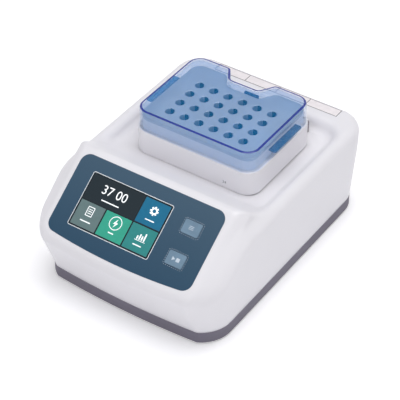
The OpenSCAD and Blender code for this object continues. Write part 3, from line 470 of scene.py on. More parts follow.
def shade(c, k):
    """A colour times k, no brighter than white."""
    return (*(min(v * k, 1) for v in c[:3]), 1.0)


def moulded_abs():
    # Injection-moulded ABS, lightly polished tool: a soft satin shine with faint orange peel.
    return finish_of("moulded ABS, white", tone("casing"), 0.36, (90, 0.985, 1.01),
                     (2.2, 0.012, (0.32, 0.40)), IOR=1.53)[0]


def eroded_abs():
    # ABS from a spark-eroded tool: a fine even grit that kills the shine.
    return finish_of("spark-textured ABS, grey", tone("tray"), 0.6, (40, 0.96, 1.04),
                     (0.9, 0.05, (0.54, 0.66), 3.0), IOR=1.53)[0]


def printed_film():
    # Polyester panel film, printed on its back, under a fine satin emboss. Its colour is lighter at
    # the top of the panel and deeper at the bottom.
    mat, tree, s = finish_of("printed polyester film", tone("panel_low"), 0.42,
                             grit=(0.7, 0.006, (0.39, 0.45)), IOR=1.57)
    co = add(tree, "TexCoord").outputs["Object"]
    z = add(tree, "SeparateXYZ", {"Vector": co}).outputs["Z"]
    run = add(tree, "MapRange", {"Value": z, "From Min": 0.086, "From Max": 0.146})
    ramp = add(tree, "ValToRGB", {"Fac": run.outputs["Result"]})
    for stop, name in zip(ramp.color_ramp.elements, ("panel_low", "panel_top")):
        stop.color = tone(name)
    tree.links.new(ramp.outputs["Color"], s.inputs["Base Color"])
    return mat


def ink(name, code, rough=0.45, glow=0.0):
    # Screen-printed ink or a lit screen cell: an even colour that varies faintly over a few mm.
    base = srgb(code)
    lit = {"Emission Color": base, "Emission Strength": glow} if glow else {}
    return finish_of(name, base, rough, (6, 0.97, 1.03), IOR=1.5, **lit)[0]


def clear_lid(name, base, cover, rough):
    # Injection-moulded clear polycarbonate with a blue tint. Each of its skins covers a part of
    # what lies behind, so edges seen through more of them look deeper.
    return finish_of(name, base, rough, (70, 0.94, 1.06), (14, 0.02), IOR=1.58, Alpha=cover)[0]


def bare_metal(name, code, rough, stretch=None, size_mm=0.6, height_mm=0.004):
    # Machined, turned or drawn metal: fine tool marks that run along one direction.
    marks = (size_mm, height_mm, (rough * 0.8, rough * 1.25), 2.0, stretch)
    return finish_of(name, srgb(code), rough, None, marks, Metallic=1.0)[0]


def painted_well_shade(tree, shader, well_shade):
    """Painted shade in the wells: there the colour turns near-black and loses its metal, standing
    in for the shade deep in the holes. A point's offset from the middle of its square cell gives
    its distance from a well's axis."""
    maths = lambda kind, op, *values: add(tree, kind, dict(enumerate(values)), operation=op).outputs
    scalar, vector = "Math", "VectorMath"
    co = add(tree, "TexCoord").outputs["Object"]
    from_block = maths(vector, "SUBTRACT", co, (BLOCK[0] * MM, BLOCK[1] * MM, 0))[0]
    cell, cells = from_block, 1 / (PITCH * MM)
    for op, *other in (("MULTIPLY", (cells, cells, 0)), ("ADD", (0, 0.5, 0)), ("FRACTION",),
                       ("SUBTRACT", (0.5, 0.5, 0)), ("MULTIPLY", (1, 1, 0))):
        cell = maths(vector, op, cell, *other)[0]
    shaded_bore = maths(scalar, "LESS_THAN", maths(vector, "LENGTH", cell)["Value"], WELL_R / PITCH)[0]
    # only inside the field of wells and below the block's top face
    place = add(tree, "SeparateXYZ", {"Vector": maths(vector, "ABSOLUTE", from_block)[0]}).outputs
    for axis, limit in (("X", 0.058), ("Y", 0.038), ("Z", 0.1606)):
        inside = maths(scalar, "LESS_THAN", place[axis], limit)[0]
        shaded_bore = maths(scalar, "MULTIPLY", shaded_bore, inside)[0]
    # mixes the painted shade colour into the block's colour inside the wells
    mix = add(tree, "Mix", data_type="RGBA")
    colour_in = shader.inputs["Base Color"]
    tree.links.new(shaded_bore, mix.inputs[0])
    tree.links.new(colour_in.links[0].from_socket, mix.inputs[6])
    mix.inputs[7].default_value = well_shade
    tree.links.new(mix.outputs[2], colour_in)
    # the painted shade also takes away the metal inside the wells
    bare = shader.inputs["Metallic"]
    full = bare.default_value
    tree.links.new(maths(scalar, "MULTIPLY_ADD", shaded_bore, -full, full)[0], bare)


def dull(name, code, rough, size_mm=1.0, height_mm=0.02, ior=1.5):
    # Rubber, moulded nylon, board laminate and the like: an even dull skin with fine grain.
    return finish_of(name, srgb(code), rough, (12, 0.93, 1.06),
                     (size_mm, height_mm, (rough - 0.05, rough + 0.05)), IOR=ior)[0]


# ---- casing skin

def round_edge(a, b, cos_ab, r):
    """Distance to the edge of two planes, rounded by r. a and b are the distances to the planes and
    cos_ab is the cosine between their normals. Between the normals at the rounding's centre it is
    the distance to that centre less r, elsewhere the larger of a and b."""
    sin_ab = np.sqrt(1 - cos_ab ** 2)
    across = (b - cos_ab * a) / sin_ab
    v1 = a + r
    v2 = across - (-r + r * cos_ab) / sin_ab
    in_wedge = (v2 > 0) & (v1 - cos_ab * v2 / sin_ab > 0)
    return np.where(in_wedge, np.hypot(v1, v2) - r, np.maximum(a, b))


def soft_min(a, b, k):
    """Smaller of a and b, with the change from one to the other spread over k."""
    h = np.maximum(k - np.abs(a - b), 0) / k
    return np.minimum(a, b) - h * h * k / 4


def plan_distance(x, y, z):
    """Distance outside the walls: sides that lean out up to the ridge, a bowed front that leans
    forward and an upright rear, with rounded upright corners. Also returns how far the nearest
    wall is the front one, from 0 at the sides to 1 in front."""
    up = z - SPLIT
    half = soft_min(SIDE[0] + (SIDE[1] - SIDE[0]) * up / SIDE_RISE, SIDE[1], SIDE_BLEND)
    side = np.abs(x) - half
    front = TRAY_FRONT - WALL_LEAN * up - y
    corner = CORNER[0] + (CORNER[1] - CORNER[0]) * np.clip(up / CORNER_RISE, 0, 1)
    a, b = np.maximum(side + corner, 0), np.maximum(front + corner, 0)
    facing = b * b / np.maximum(a * a + b * b, 1e-6)
    walls = np.maximum(round_edge(side, front, 0.0, corner), front + x * x / FRONT_BOW)
    walls = walls * (1 - LEAN_LOSS * facing)
    return round_edge(walls, y - REAR, 0.0, REAR_CORNER), facing


def rounded_box(x, y, half_w, half_h, r):
    """Distance outside a rounded rectangle: how far the point is past the corners' centres, less
    the radius."""
    qx, qy = np.abs(x) - half_w + r, np.abs(y) - half_h + r
    return np.hypot(np.maximum(qx, 0), np.maximum(qy, 0)) + np.minimum(np.maximum(qx, qy), 0) - r


def roof_distance(x, y, z):
    """Distance above the roof: rails and front slope with a long blend between them, less the
    recess, joined to the pod that carries the panel."""
    s = sizes()
    sin_t, cos_t = math.sin(TILT), math.cos(TILT)
    face = cos_t * (z - PANEL_C[1]) - sin_t * (y - PANEL_C[0])
    roof = round_edge(z - RAIL, face + SLOPE_DROP, cos_t, SLOPE_BLEND)
    lean = (z - PAN) / DRAFT
    walls = rounded_box(x, y - RECESS_Y, RECESS[0] + lean, RECESS[1] + lean, RECESS_R)
    recess = round_edge(PAN - z, walls * DRAFT_COS, -DRAFT_SIN, RECESS_FOOT)
    roof = round_edge(roof, -recess, 0.0, s.rail_inner / MM)
    back = POD_BACK[0] * (y - POD_BACK_Y) + POD_BACK[1] * (z - PAN)
    crest = round_edge(face, back, CREST_COS, POD_CREST)
    slant = POD_SIDE[0] * (np.abs(x) - POD_HALF) + POD_SIDE[1] * face
    sides = round_edge(slant, np.abs(x) - POD_FOOT, POD_SIDE[0], POD_SIDE_ROUND)
    pod = round_edge(sides, crest, POD_RIM_COS, s.pod_round / MM)
    return -round_edge(-roof, -pod, 0.0, s.pod_blend / MM)


def casing_distance(p):
    """Distance outside the casing: walls and roof, with the rounding of the rails behind and that
    of the lip in front."""
    x, y, z = p[..., 0], p[..., 1], p[..., 2]
    s = sizes()
    front = np.clip((LIP_FROM - y) / LIP_SPAN, 0, 1)
    r = s.rail_round / MM * (1 - front) + s.lip_round / MM * front
    plan, facing = plan_distance(x, y, z)
    return round_edge(plan, roof_distance(x, y, z), (LIP_COS * facing - SIDE_COS) * front, r)


def cast(origin, direction, reach):
    """First point along each ray, within reach, where the casing's distance turns positive: the
    span is halved again and again round the change of sign."""
    halvings = 46
    lo = np.zeros(origin.shape[:-1])
    hi = np.broadcast_to(reach, lo.shape).astype(float).copy()
    for _ in range(halvings):
        mid = (lo + hi) / 2
        inside = casing_distance(origin + direction * mid[..., None]) < 0
        lo, hi = np.where(inside, mid, lo), np.where(inside, hi, mid)
    return origin + direction * ((lo + hi) / 2)[..., None]


def casing_ring():
    """Plan points round the casing's box, counterclockwise from the rear wall's right end. On that
    wall they lie on the edges of its openings."""
    edges = [VENT_X + VENT_STEP * i + e for i in range(-VENT_COUNT, VENT_COUNT + 1)
             for e in (-VENT_HALF, VENT_HALF)]
    edges += [x + k * half for x, _, half, _ in (INLET, SWITCH) for k in (-1, 1)]
    rear = np.array(sorted(edges + list(range(-22, 56, 6))))[::-1]
    x0, y0 = SIDE[1] - REAR_CORNER, REAR - REAR_CORNER
    x1, y1, r = SIDE[1] - CORNER[1], FRONT + CORNER[1], CORNER[1]
    line = lambda x, y: np.column_stack(np.broadcast_arrays(x, y))
    turn = lambda x, y, q, a, b, n: arc(x, y, q, math.radians(a), math.radians(b), n)
    return np.concatenate([
        line(rear, REAR), turn(-x0, y0, REAR_CORNER, 92, 180, 16),
        line(-SIDE[1], np.arange(134, -118, -4.0)), turn(-x1, y1, r, 182, 268, 34),
        line(np.arange(-72, 73, 4.0), FRONT), turn(x1, y1, r, 272, 358, 34),
        line(SIDE[1], np.arange(-118, 138, 4.0)), turn(x0, y0, REAR_CORNER, 0, 86, 16)])


def left_out(p):
    """Mask of the points that lie under the panel film or in an opening of the rear wall."""
    x, y, z = p[..., 0], p[..., 1], p[..., 2]
    dy, dz = y - PANEL_C[0], z - PANEL_C[1]
    along = math.cos(TILT) * dy + math.sin(TILT) * dz
    above = math.cos(TILT) * dz - math.sin(TILT) * dy
    under = 5, 11                  # the casing reaches this far under the film's sides and ends
    film = rounded_box(x, along, PANEL_W / 2 - under[0], PANEL_H / 2 - under[1],
                       PANEL_R - under[0]) < 0
    i = np.round((x - VENT_X) / VENT_STEP)
    holes = (np.abs(i) <= VENT_COUNT) & (np.abs(x - VENT_X - VENT_STEP * i) < VENT_HALF) & (
        np.abs(z - VENT_Z) < VENT_TALL - np.abs(i))
    for cx, cz, w, h in (INLET, SWITCH):
        holes |= (np.abs(x - cx) < w) & (np.abs(z - cz) < h)
    return (film & (np.abs(above) < 1.5)) | (holes & (y > REAR - 2))


def casing_skin():
    """Surface in two parameters: round the casing, and from the opening under the block out over
    the roof and down the wall. The roof is met from straight below, the edge from a fan that turns
    from upright to level, and the wall from inside at each level."""
    inside, low = 15.0, 40.0       # from the outer edge to the fan, and a level under the roof
    centre = np.array([0.0, BLOCK[1]])
    out = casing_ring() - centre
    e = out / np.linalg.norm(out, axis=1)[:, None]
    n = len(e)
    e3 = np.column_stack([e, np.zeros(n)])

    def at(rho, z):
        """Points at the distance rho from the middle in each direction."""
        return np.column_stack([centre + e * rho[:, None], np.broadcast_to(z, n)])

    # outer silhouette in each direction, and the roof's height a little inside it
    lip = cast(at(np.zeros(n), 78.0), e3, 230.0)
    reach = np.linalg.norm(lip[:, :2] - centre, axis=1)
    top = cast(at(reach - inside, low), UP, 130.0)[:, 2]

    # the opening under the block and the collar round it
    collar = np.minimum(OPENING[0] / np.maximum(np.abs(e[:, 0]), 1e-9),
                        OPENING[1] / np.maximum(np.abs(e[:, 1]), 1e-9))
    rows = [at(collar + k, PAN + z)
            for k, z in ((0, -3.0), (0, COLLAR_H), (COLLAR_W, COLLAR_H), (COLLAR_W, 0))]
    # over the roof
    for f in np.linspace(0, 1, 84)[1:]:
        rows.append(cast(at((collar + 3.0) * (1 - f) + (reach - inside) * f, low), UP, 130.0))
    # round the edge
    for a in np.radians(np.linspace(90, 0, 20))[1:]:
        rows.append(cast(at(reach - inside, top - inside), e3 * math.cos(a) + UP * math.sin(a),
                         60.0))
    # down the wall, at levels that lie on the edges of the rear wall's openings
    for z in (110, 108, *range(106, 99, -1), 93.7, 86, 78, 72, 66.3, *range(66, 60, -1), 60.5, 54,
              48, 42, 36, 27.5, 22, 18):
        k = (z - SPLIT) / (PAN - SPLIT)
        start = at(reach - inside - 45 * (1 - k), SPLIT + k * (top - inside - SPLIT))
        rows.append(cast(start, e3, 110.0))
    grid = np.array(rows)

    beside = np.roll(grid, -1, 1)
    keep = ~left_out((grid[:-1] + beside[:-1] + grid[1:] + beside[1:]) / 4)
    return grid.reshape(-1, 3) * MM, grid_faces(len(rows), n, True, keep)[:, ::-1]


# ---- operators

class MIXER_OT_casing(bpy.types.Operator):
    """Moulded upper casing with its recess, rails and panel pod"""
    bl_idname = "mixer.casing"
    bl_label = "Casing"

    def execute(self, context):
        verts, faces = casing_skin()
        obj = add_mesh("upper_casing", verts, faces, moulded_abs(), "housing_shell",
                       ("housing_shell",), 40)
        wall = obj.modifiers.new("wall", "SOLIDIFY")
        wall.thickness, wall.offset = sizes().skin, -1.0
        return {"FINISHED"}


class MIXER_OT_base(bpy.types.Operator):
    """Base tray, feet and the screws that hold the casing"""
    bl_idname = "mixer.base"
    bl_label = "Base"

    def execute(self, context):
        dressed("base_tray", eroded_abs(), 0.0008)
        dressed("rubber_feet", dull("moulded rubber, black", "1E1E21", 0.8, 0.8, 0.03), 0.0006)
        painted(("housing_screws",), bare_metal("zinc-plated screws", "B8B9BE", 0.35))
        return {"FINISHED"}


def film_outline():
    """Outline of the panel film, counterclockwise: a rectangle with rounded corners whose lower
    edge lies on a large circle. The lower corners' roundings touch the side and that circle."""
    w, h, r, bow = PANEL_W / 2, PANEL_H / 2, PANEL_R, PANEL_BOW
    cx, cy = w - r, bow - h
    low = cy - math.sqrt((bow - r) ** 2 - cx ** 2)
    end = math.atan2(low - cy, cx)
    half = math.pi / 2
    return np.concatenate([arc(0, cy, bow, -2 * half - end, end, 33)[:-1],
                           arc(cx, low, r, end, 0, 11), arc(cx, h - r, r, 0, half, 11),
                           arc(-cx, h - r, r, half, 2 * half, 11),
                           arc(-cx, low, r, 2 * half, 2 * half - end, 11)[:-1]])


def dashed(ring, count, dash, width):
    """Dashes along a closed outline: count of them start at even steps of its length."""
    closed = np.vstack([ring, ring[:1]])
    along = np.concatenate([[0], np.cumsum(np.linalg.norm(np.diff(closed, axis=0), axis=1))])
    start = np.linspace(0, along[-1], 3 * count + 1)[:-1:3]
    at = lambda v: np.stack([np.interp(v % along[-1], along, closed[:, k]) for k in (0, 1)], 1)
    a, b = at(start), at(start + dash)
    side = (b - a)[:, ::-1] * (-1, 1)
    side /= np.linalg.norm(side, axis=1)[:, None] / (width / 2)
    quads = np.stack([a - side, b - side, b + side, a + side], 1)
    return quads.reshape(-1, 2), np.arange(4 * count).reshape(-1, 4).tolist()


class MIXER_OT_panel(bpy.types.Operator):
    """Printed control panel with its two film keys"""
    bl_idname = "mixer.panel"
    bl_label = "Control panel"

    def execute(self, context):
        keys = [rect_at(KEY_X, y, *KEY_HALF) for y in (MENU_Y, RUN_Y)]
        windows = [corner_points(rect_at(*SCREEN), [2] * 4, 6)] + [
            corner_points(key, [2.5] * 4, 6) for key in keys]
        verts, faces = pierced(film_outline(), windows, -1.3, FILM_TOP)
        film = add_mesh("panel_film", to_panel(verts), faces, printed_film(), "control_overlay",
                        ("control_overlay",), 35)
        rounded(film, 0.0003)
        key_film = dull("printed key film", "6F8BA1", 0.4, 0.7, 0.006, 1.57)
        dressed("menu_key", key_film, 0.0003)
        dressed("run_key", key_film, 0.0003)
        pale = ink("pale panel ink", "C9D6E2")
        margin = [half + 1 for half in KEY_HALF]
        dashes = [dashed(outline(rect_at(KEY_X, y, *margin), [2.5] * 4, 0, 9), 32, 1.1, 0.36)
                  for y in (RUN_Y, MENU_Y)]
        print_on_panel("key_borders", dashes, BORDERS, pale)
        bars = [plate(62.8, y, 68.8, y + 0.7, 0.3) for y in (18, 19.7, 21.4)]
        print_on_panel("menu_sign", bars, KEY_SIGNS, pale, "menu_key")
        triangle = ([(61.6, -20.4), (65.6, -18), (61.6, -15.6)], [[0, 1, 2]])
        square = plate(66.8, -20.2, 71.2, -15.8, 0.3)
        print_on_panel("run_sign", [triangle, square], KEY_SIGNS, pale, "run_key")
        return {"FINISHED"}


class MIXER_OT_screen(bpy.types.Operator):
    """Touch screen: its glass and the lit cells with their signs"""
    bl_idname = "mixer.screen"
    bl_label = "Touch screen"

    def execute(self, context):
        glass = finish_of("screen glass over black", srgb("1D292F"), 0.12, None, (20, 0.01),
                          IOR=1.5)[0]
        dressed("display_glass", glass, 0.0003)
        cells = (("cell_clock", "16262E", -71.6, 2.4, -2.6, 32.1),
                 ("cell_system", "0E6C90", -0.8, 2.4, 32.4, 32.1),
                 ("cell_program", "647B7C", -71.6, -29.1, -38.6, 0.6),
                 ("cell_fast", "34A58C", -36.8, -29.1, -2.6, 0.6),
                 ("cell_graph", "2D8886", -0.8, -29.1, 32.4, 0.6))
        for name, code, x0, y0, x1, y1 in cells:
            print_on_panel(name, [plate(x0, y0, x1, y1, 0.4)], CELLS,
                           ink("lit " + name, code, 0.35, 0.05), "display_glass")
        white = ink("lit white", "F2F6F7", 0.3, 0.35)
        gear = washer(15.8, 20.5, 5.4, 2.2, 96, 8, 1.3)
        page = [frame_of(-59.5, -15.0, -50.5, -3.5, 0.8, 0.9)] + [
            plate(-57.6, y, -52.4, y + 0.8) for y in (-7.2, -9.6, -12.0)]
        bolt = ([(-18.6, -3.9), (-22.6, -10.6), (-19.9, -10.6), (-21.2, -15.4), (-16.6, -8.6),
                 (-19.2, -8.6)], [[0, 1, 2, 3, 4, 5]])
        bars = [plate(11.0 + 3 * i, -15.0, 12.8 + 3 * i, -11.0 + (0, 2.6, 1.2, 5.0)[i])
                for i in range(4)] + [plate(9.6, -16.4, 23.4, -15.7)]
        captions = [plate(x - w, y, x + w, y + 1.3, 0.5) for x, y, w in (
            (15.8, 8.4, 6.0), (-55.1, -22.2, 7.0), (-19.7, -22.2, 3.6), (15.8, -22.2, 5.6))]
        signs = [numerals("37 00", -37.5, 19.5, 15.0), plate(-49.5, 7.3, -25.5, 8.6, 0.6), gear,
                 washer(-19.7, -9.4, 8.0, 7.1), bolt, *page, *bars, *captions]
        print_on_panel("screen_signs", signs, SIGNS, white, "display_glass")
        print_on_panel("screen_border", [frame_of(-74.4, -31.8, 35.2, 34.8, 2.4, 0.75)], BORDERS,
                       ink("white screen border", "E9EEF2"))
        return {"FINISHED"}


class MIXER_OT_block(bpy.types.Operator):
    """Lift-out tube block with its skirt, screws and catch"""
    bl_idname = "mixer.block"
    bl_label = "Tube block"

    def execute(self, context):
        alloy, tree, s = finish_of(
            "bead-blasted aluminium, clear anodised", tone("block"), 0.42,
            (25, 0.96, 1.04), (0.5, 0.012, (0.37, 0.47)), Metallic=0.55)
        # painted shade: the wells' walls turn near-black where the deep holes lie in shade
        painted_well_shade(tree, s, srgb("10151C"))
        dressed("tube_block", alloy, 0.0003)
        dressed("block_skirt", moulded_abs(), sizes().skirt_edge)
        dressed("lid_catch", dull("moulded nylon, navy", "222D4A", 0.45), 0.0004)
        painted(("skirt_screws",), bare_metal("stainless screws", "9A9DA2", 0.3))
        pts, faces = numerals("24", 47.0, 121.0, 5.0)
        y = np.full(len(pts), LID_Y - SKIRT_FRONT - 0.04)
        add_mesh("skirt_marking", np.column_stack([pts[:, 0], y, pts[:, 1]]) * MM, faces,
                 ink("grey pad print", "4A4F5C"), "block_skirt")
        return {"FINISHED"}


def lid_outline(t):
    """Plan of the lid, t inside its outer face: a rectangle with rounded corners whose rear side
    turns in to a notch that narrows towards its floor."""
    w, d, mouth, depth, flare = 161.0, 127.0, 31.0, 19.0, 12.0
    front_left, front_right, rear_right, rear_left = rect_at(0, 0, w / 2, d / 2)
    notch = [(mouth, d / 2), (mouth - flare, d / 2 - depth), (flare - mouth, d / 2 - depth),
             (-mouth, d / 2)]
    return outline([front_left, front_right, rear_right, *notch, rear_left],
                   [17] * 3 + [7] * 4 + [17], t, 10) + (BLOCK[0], LID_Y)


class MIXER_OT_lid(bpy.types.Operator):
    """Clear lid: a hollow shell with a rounded upper edge, a rear notch and two side grips"""
    bl_idname = "mixer.lid"
    bl_label = "Lid"

    def execute(self, context):
        wall, top, low = 2.4, 171.0, 144.0
        r = sizes().lid_edge / MM
        rings = [at_level(lid_outline(wall), z) for z in (top - wall, 150.0, low)]
        rings += [at_level(lid_outline(0), z) for z in (low, 150.0, 160.0)]
        rings += rounded_rim(lid_outline, top, r, 6)
        rings.append(at_level(lid_outline(r + 0.9), top))
        verts, faces = stacked(rings)
        skin = clear_lid("tinted polycarbonate", tone("lid"), 0.15, 0.05)
        obj = add_mesh("clear_lid", verts * MM, faces, skin, "lid", ("lid",), 50)
        rim = clear_lid("polycarbonate seen along its edge", tone("lid_rim"), 0.93, 0.08)
        obj.data.materials.append(rim)
        n = len(rings[0])
        strip = np.arange(len(obj.data.polygons)) // n
        rim_rows = 4
        edge = (strip >= len(rings) - 1 - rim_rows) & (strip < len(rings) - 1)
        obj.data.polygons.foreach_set("material_index", edge.astype(np.int32))
        grips = clear_lid("polycarbonate grips", shade(tone("lid"), 0.42), 0.60, 0.08)
        for side, name in ((-1, "lid_grip_left"), (1, "lid_grip_right")):
            c = rectangle(-5.0, -28, 4.5, 28)
            ring_at = lambda t: outline(c, [0.4, 2.5, 2.5, 0.4], t, 6) * (side, 1) + (
                BLOCK[0] + side * 84.5, LID_Y)
            g = rounded_rim(ring_at, 156.0, 0.8, 3, True) + rounded_rim(ring_at, 158.6, 0.8, 3)
            gv, gf = stacked(g)
            add_mesh(name, gv * MM, gf if side > 0 else [f[::-1] for f in gf], grips, "lid")
        return {"FINISHED"}


class MIXER_OT_deck(bpy.types.Operator):
    """Release pin and the outlined strip on the rear deck"""
    bl_idname = "mixer.deck"
    bl_label = "Rear deck"

    def execute(self, context):
        chrome = bare_metal("polished chrome", "8F8A90", 0.12, size_mm=3, height_mm=0.002)
        dressed("release_pin", chrome, 0.0002)
        dressed("pin_guide", dull("moulded acetal, white", "D9DADE", 0.4), 0.0003)

        def drape(x0, y0, x1, y1, nx, ny, lift):
            """Grid of nx by ny points over a rectangle, laid on the casing and lifted."""
            gx, gy = np.meshgrid(np.linspace(x0, x1, nx), np.linspace(y0, y1, ny))
            p = cast(np.stack([gx, gy, np.full(gx.shape, 100.0)], -1), UP, 40.0)
            return p.reshape(-1, 3) + UP * lift, grid_faces(ny, nx, False).tolist()

        edges, front, rear, line = (-79, -36, 7, 49.5, 92), 151, 165, 0.7
        verts, faces = drape(edges[0], front, edges[-1], rear, 58, 15, 0.05)
        add_mesh("deck_strip", verts * MM, faces, ink("pale strip print", "EFE9EB", 0.5),
                 "housing_shell")
        lines = [drape(x, front, x + line, rear, 3, 15, 0.1) for x in edges] + [
            drape(edges[0], y, edges[-1] + line, y + line, 58, 3, 0.1) for y in (front, 164.4)]
        verts, faces = flat(lines)
        add_mesh("deck_strip_lines", verts * MM, faces, ink("black strip print", "23242A"),
                 "housing_shell")
        return {"FINISHED"}


class MIXER_OT_rear(bpy.types.Operator):
    """Rear fittings: mains inlet, fuse drawer, switch and fan"""
    bl_idname = "mixer.rear"
    bl_label = "Rear fittings"

    def execute(self, context):
        nylon = dull("glass-filled nylon, black", "232427", 0.5, 0.6)
        for node in ("mains_inlet", "switch_frame", "fuse_drawer"):
            dressed(node, nylon, 0.0003)
        dressed("fan_frame", nylon, 0.0005)
        dressed("power_rocker", dull("polished nylon, black", "17181A", 0.25, 2, 0.008), 0.0004)
        dressed("fan_impeller", dull("moulded PBT, charcoal", "35363A", 0.55), 0.0002)
        painted(("inlet_pins",), bare_metal("nickel-plated brass", "C8B27A", 0.25))
        painted(("fan_screws",), bare_metal("steel fan screws", "8D9096", 0.35))
        return {"FINISHED"}


class MIXER_OT_drive(bpy.types.Operator):
    """Motor, belt, spindle, cranks and the platform with its thermal stack"""
    bl_idname = "mixer.drive"
    bl_label = "Drive"

    def execute(self, context):
        turned = bare_metal("turned steel", "A9ACB1", 0.28, (1, 1, 9))
        milled = bare_metal("milled aluminium", "C5C8CC", 0.36, (9, 1, 1), 0.8, 0.006)
        sheet = bare_metal("zinc-plated sheet steel", "A3A7AC", 0.42, size_mm=1.5)
        for node in ("drive_spindle", "idler_left", "idler_right", "idler_rear", "motor_shaft",
                     "spindle_bearings", "idler_bearings", "platform_bearing",
                     "locating_dowels"):
            dressed(node, turned)
        for node in ("spindle_housing", "idler_housings", "spindle_pulley", "motor_pulley",
                     "platform_plate", "thermal_plate", "plate_pillars"):
            dressed(node, milled, 0.0003)
        painted(("drive_plate", "plate_screws"), sheet)
        dressed("heat_sink", bare_metal("extruded aluminium", "B9BDC2", 0.4, (1, 9, 1)))
        dressed("counterweight", bare_metal("blackened steel", "55585E", 0.45), 0.0004)
        dressed("motor_can", dull("powder-coated steel, black", "2B2D31", 0.55, 0.5), 0.0006)
        dressed("drive_belt", dull("neoprene belt", "1C1C1E", 0.85, 0.5, 0.04))
        painted(("peltier_modules",), dull("alumina ceramic", "E6E4DC", 0.6, 0.4, 0.01, 1.7))
        return {"FINISHED"}


class MIXER_OT_electronics(bpy.types.Operator):
    """Boards, display module and power supply inside the casing"""
    bl_idname = "mixer.electronics"
    bl_label = "Electronics"

    def execute(self, context):
        laminate = dull("board laminate, green", "2C7448", 0.4, 1.2, 0.01)
        painted(("main_board", "key_board"), laminate)
        painted(("board_components",), dull("moulded epoxy", "2E3136", 0.6, 0.5, 0.01))
        painted(("board_standoffs",), dull("nylon standoffs", "C9C3A8", 0.5))
        painted(("display_module",), bare_metal("display bezel steel", "9A9EA3", 0.4))
        dressed("power_supply", bare_metal("galvanised steel", "A7ABAE", 0.45, size_mm=4), 0.0003)
        return {"FINISHED"}


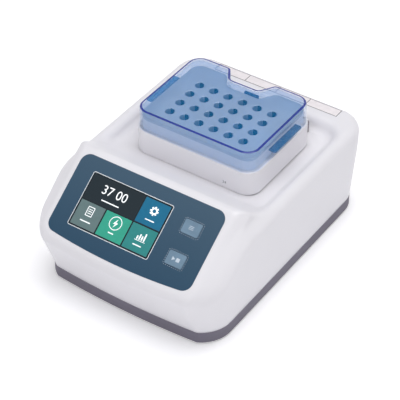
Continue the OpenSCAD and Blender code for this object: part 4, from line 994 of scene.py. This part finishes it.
class MIXER_OT_stage(bpy.types.Operator):
    """Floor, world, lamps and camera"""
    bl_idname = "mixer.stage"
    bl_label = "Stage"

    def execute(self, context):
        scene = context.scene
        scene.view_settings.view_transform = "Standard"
        self.floor()
        self.studio(scene)
        self.lamps()
        scene.camera = self.camera()
        return {"FINISHED"}

    def floor(self):
        # White paper floor: dull, and lifted towards white where the camera, a reflection or a
        # clear piece sees it
        mat, tree, s = finish_of("paper floor", srgb("F4F4F6"), 0.9)
        rays = add(tree, "LightPath").outputs
        seen = rays["Is Camera Ray"]
        for op, other in (("MAXIMUM", rays["Is Glossy Ray"]),
                          ("MAXIMUM", rays["Is Transmission Ray"]), ("MULTIPLY", 0.30)):
            seen = add(tree, "Math", {0: seen, 1: other}, operation=op).outputs[0]
        glow = add(tree, "Emission", {"Color": (1, 1, 1, 1), "Strength": seen})
        both = add(tree, "AddShader", {0: s.outputs[0], 1: glow.outputs[0]})
        surface = next(n for n in tree.nodes if n.type == "OUTPUT_MATERIAL").inputs["Surface"]
        tree.links.new(both.outputs[0], surface)
        half, n = 6, 41
        gx, gy = np.meshgrid(*[np.linspace(-1, 1, n) * half] * 2)
        verts = np.column_stack([gx.ravel(), gy.ravel(), np.full(gx.size, -0.0002)])
        mesh = bpy.data.meshes.new("floor")
        mesh.from_pydata(verts.tolist(), [], grid_faces(n, n, False).tolist())
        mesh.materials.append(mat)
        floor = placed("floor", mesh)

    def studio(self, scene):
        # Studio walls glow at the level of the object and fade to a darker ceiling
        world = bpy.data.worlds.new("studio")
        scene.world = world
        world.use_nodes = True
        tree = world.node_tree
        tree.nodes.clear()
        co = add(tree, "TexCoord").outputs["Generated"]
        up = add(tree, "SeparateXYZ", {"Vector": co}).outputs["Z"]
        fall = add(tree, "MapRange", {"Value": up, "From Min": 0.1, "From Max": 0.85,
                                      "To Min": 0.74, "To Max": 0.42})
        lit = add(tree, "Background", {"Color": srgb("F5F4F7"), "Strength": fall.outputs["Result"]})
        white = add(tree, "Background", {"Color": (1, 1, 1, 1), "Strength": 1.0})
        rays = add(tree, "LightPath").outputs
        mix = add(tree, "MixShader",
                  {0: rays["Is Camera Ray"], 1: lit.outputs[0], 2: white.outputs[0]})
        add(tree, "OutputWorld", {"Surface": mix.outputs[0]})

    def lamps(self):
        # softboxes aimed at the middle of the machine, with their places and widths in metres and
        # their power in watts
        aim = Vector((0, 0, 0.08))
        lamps = (("top", (0.2, 0.1, 1.8), 1.3, 18.0), ("front", (0.5, -1.8, 0.9), 1.2, 5.0),
                 ("right", (1.8, 0.2, 0.35), 0.9, 0.8))
        for name, place, size, power in lamps:
            lamp = bpy.data.lights.new(name, "AREA")
            lamp.size, lamp.energy = size, power
            obj = placed(name, lamp)
            obj.location = place
            obj.rotation_mode = "QUATERNION"
            obj.rotation_quaternion = (aim - Vector(place)).to_track_quat("-Z", "Y")

    def camera(self):
        # turn round the object, height and roll in degrees, focal length and picture in pixels
        az, el, roll = (math.radians(v) for v in (34.684, 40.282, -0.504))
        focal, width, sensor = 1623.7, 400, 36
        back = Vector((math.sin(az) * math.cos(el), -math.cos(az) * math.cos(el), math.sin(el)))
        level = Vector((math.cos(az), math.sin(az), 0))
        rise = back.cross(level)
        right = level * math.cos(roll) + rise * math.sin(roll)
        up = rise * math.cos(roll) - level * math.sin(roll)
        cam = bpy.data.cameras.new("camera")
        cam.lens, cam.sensor_width = focal * sensor / width, sensor
        cam.clip_start, cam.clip_end = 0.05, 30
        obj = placed("camera", cam)
        obj.rotation_mode = "QUATERNION"
        obj.rotation_quaternion = Matrix((right, up, back)).transposed().to_quaternion()
        obj.location = (0.823, -1.1866, 1.2842)
        return obj


class MIXER_PT_sidebar(bpy.types.Panel):
    """Lists the pieces of the mixer"""
    bl_idname = "MIXER_PT_sidebar"
    bl_label = "Thermal mixer"
    bl_space_type = "VIEW_3D"
    bl_region_type = "UI"
    bl_category = "Mixer"

    def draw(self, context):
        for group in (context.scene.mixer_sizes, context.scene.mixer_colours):
            col = self.layout.column()
            for key in group.bl_rna.properties.keys():
                if key not in ("rna_type", "name"):
                    col.prop(group, key)
        for op in OPERATORS:
            self.layout.operator(op.bl_idname)


OPERATORS = (MIXER_OT_casing, MIXER_OT_base, MIXER_OT_panel, MIXER_OT_screen, MIXER_OT_block,
             MIXER_OT_lid, MIXER_OT_deck, MIXER_OT_rear, MIXER_OT_drive, MIXER_OT_electronics,
             MIXER_OT_stage)
CLASSES = (MixerSizes, MixerColours, *OPERATORS, MIXER_PT_sidebar)


def register():
    for c in CLASSES:
        bpy.utils.register_class(c)
    bpy.types.Scene.mixer_sizes = PointerProperty(type=MixerSizes)
    bpy.types.Scene.mixer_colours = PointerProperty(type=MixerColours)


def unregister():
    del bpy.types.Scene.mixer_sizes
    del bpy.types.Scene.mixer_colours
    for c in reversed(CLASSES):
        bpy.utils.unregister_class(c)


def main():
    register()
    for op in OPERATORS:
        getattr(bpy.ops.mixer, op.bl_idname.split(".")[1])()


if __name__ == "__main__":
    main()
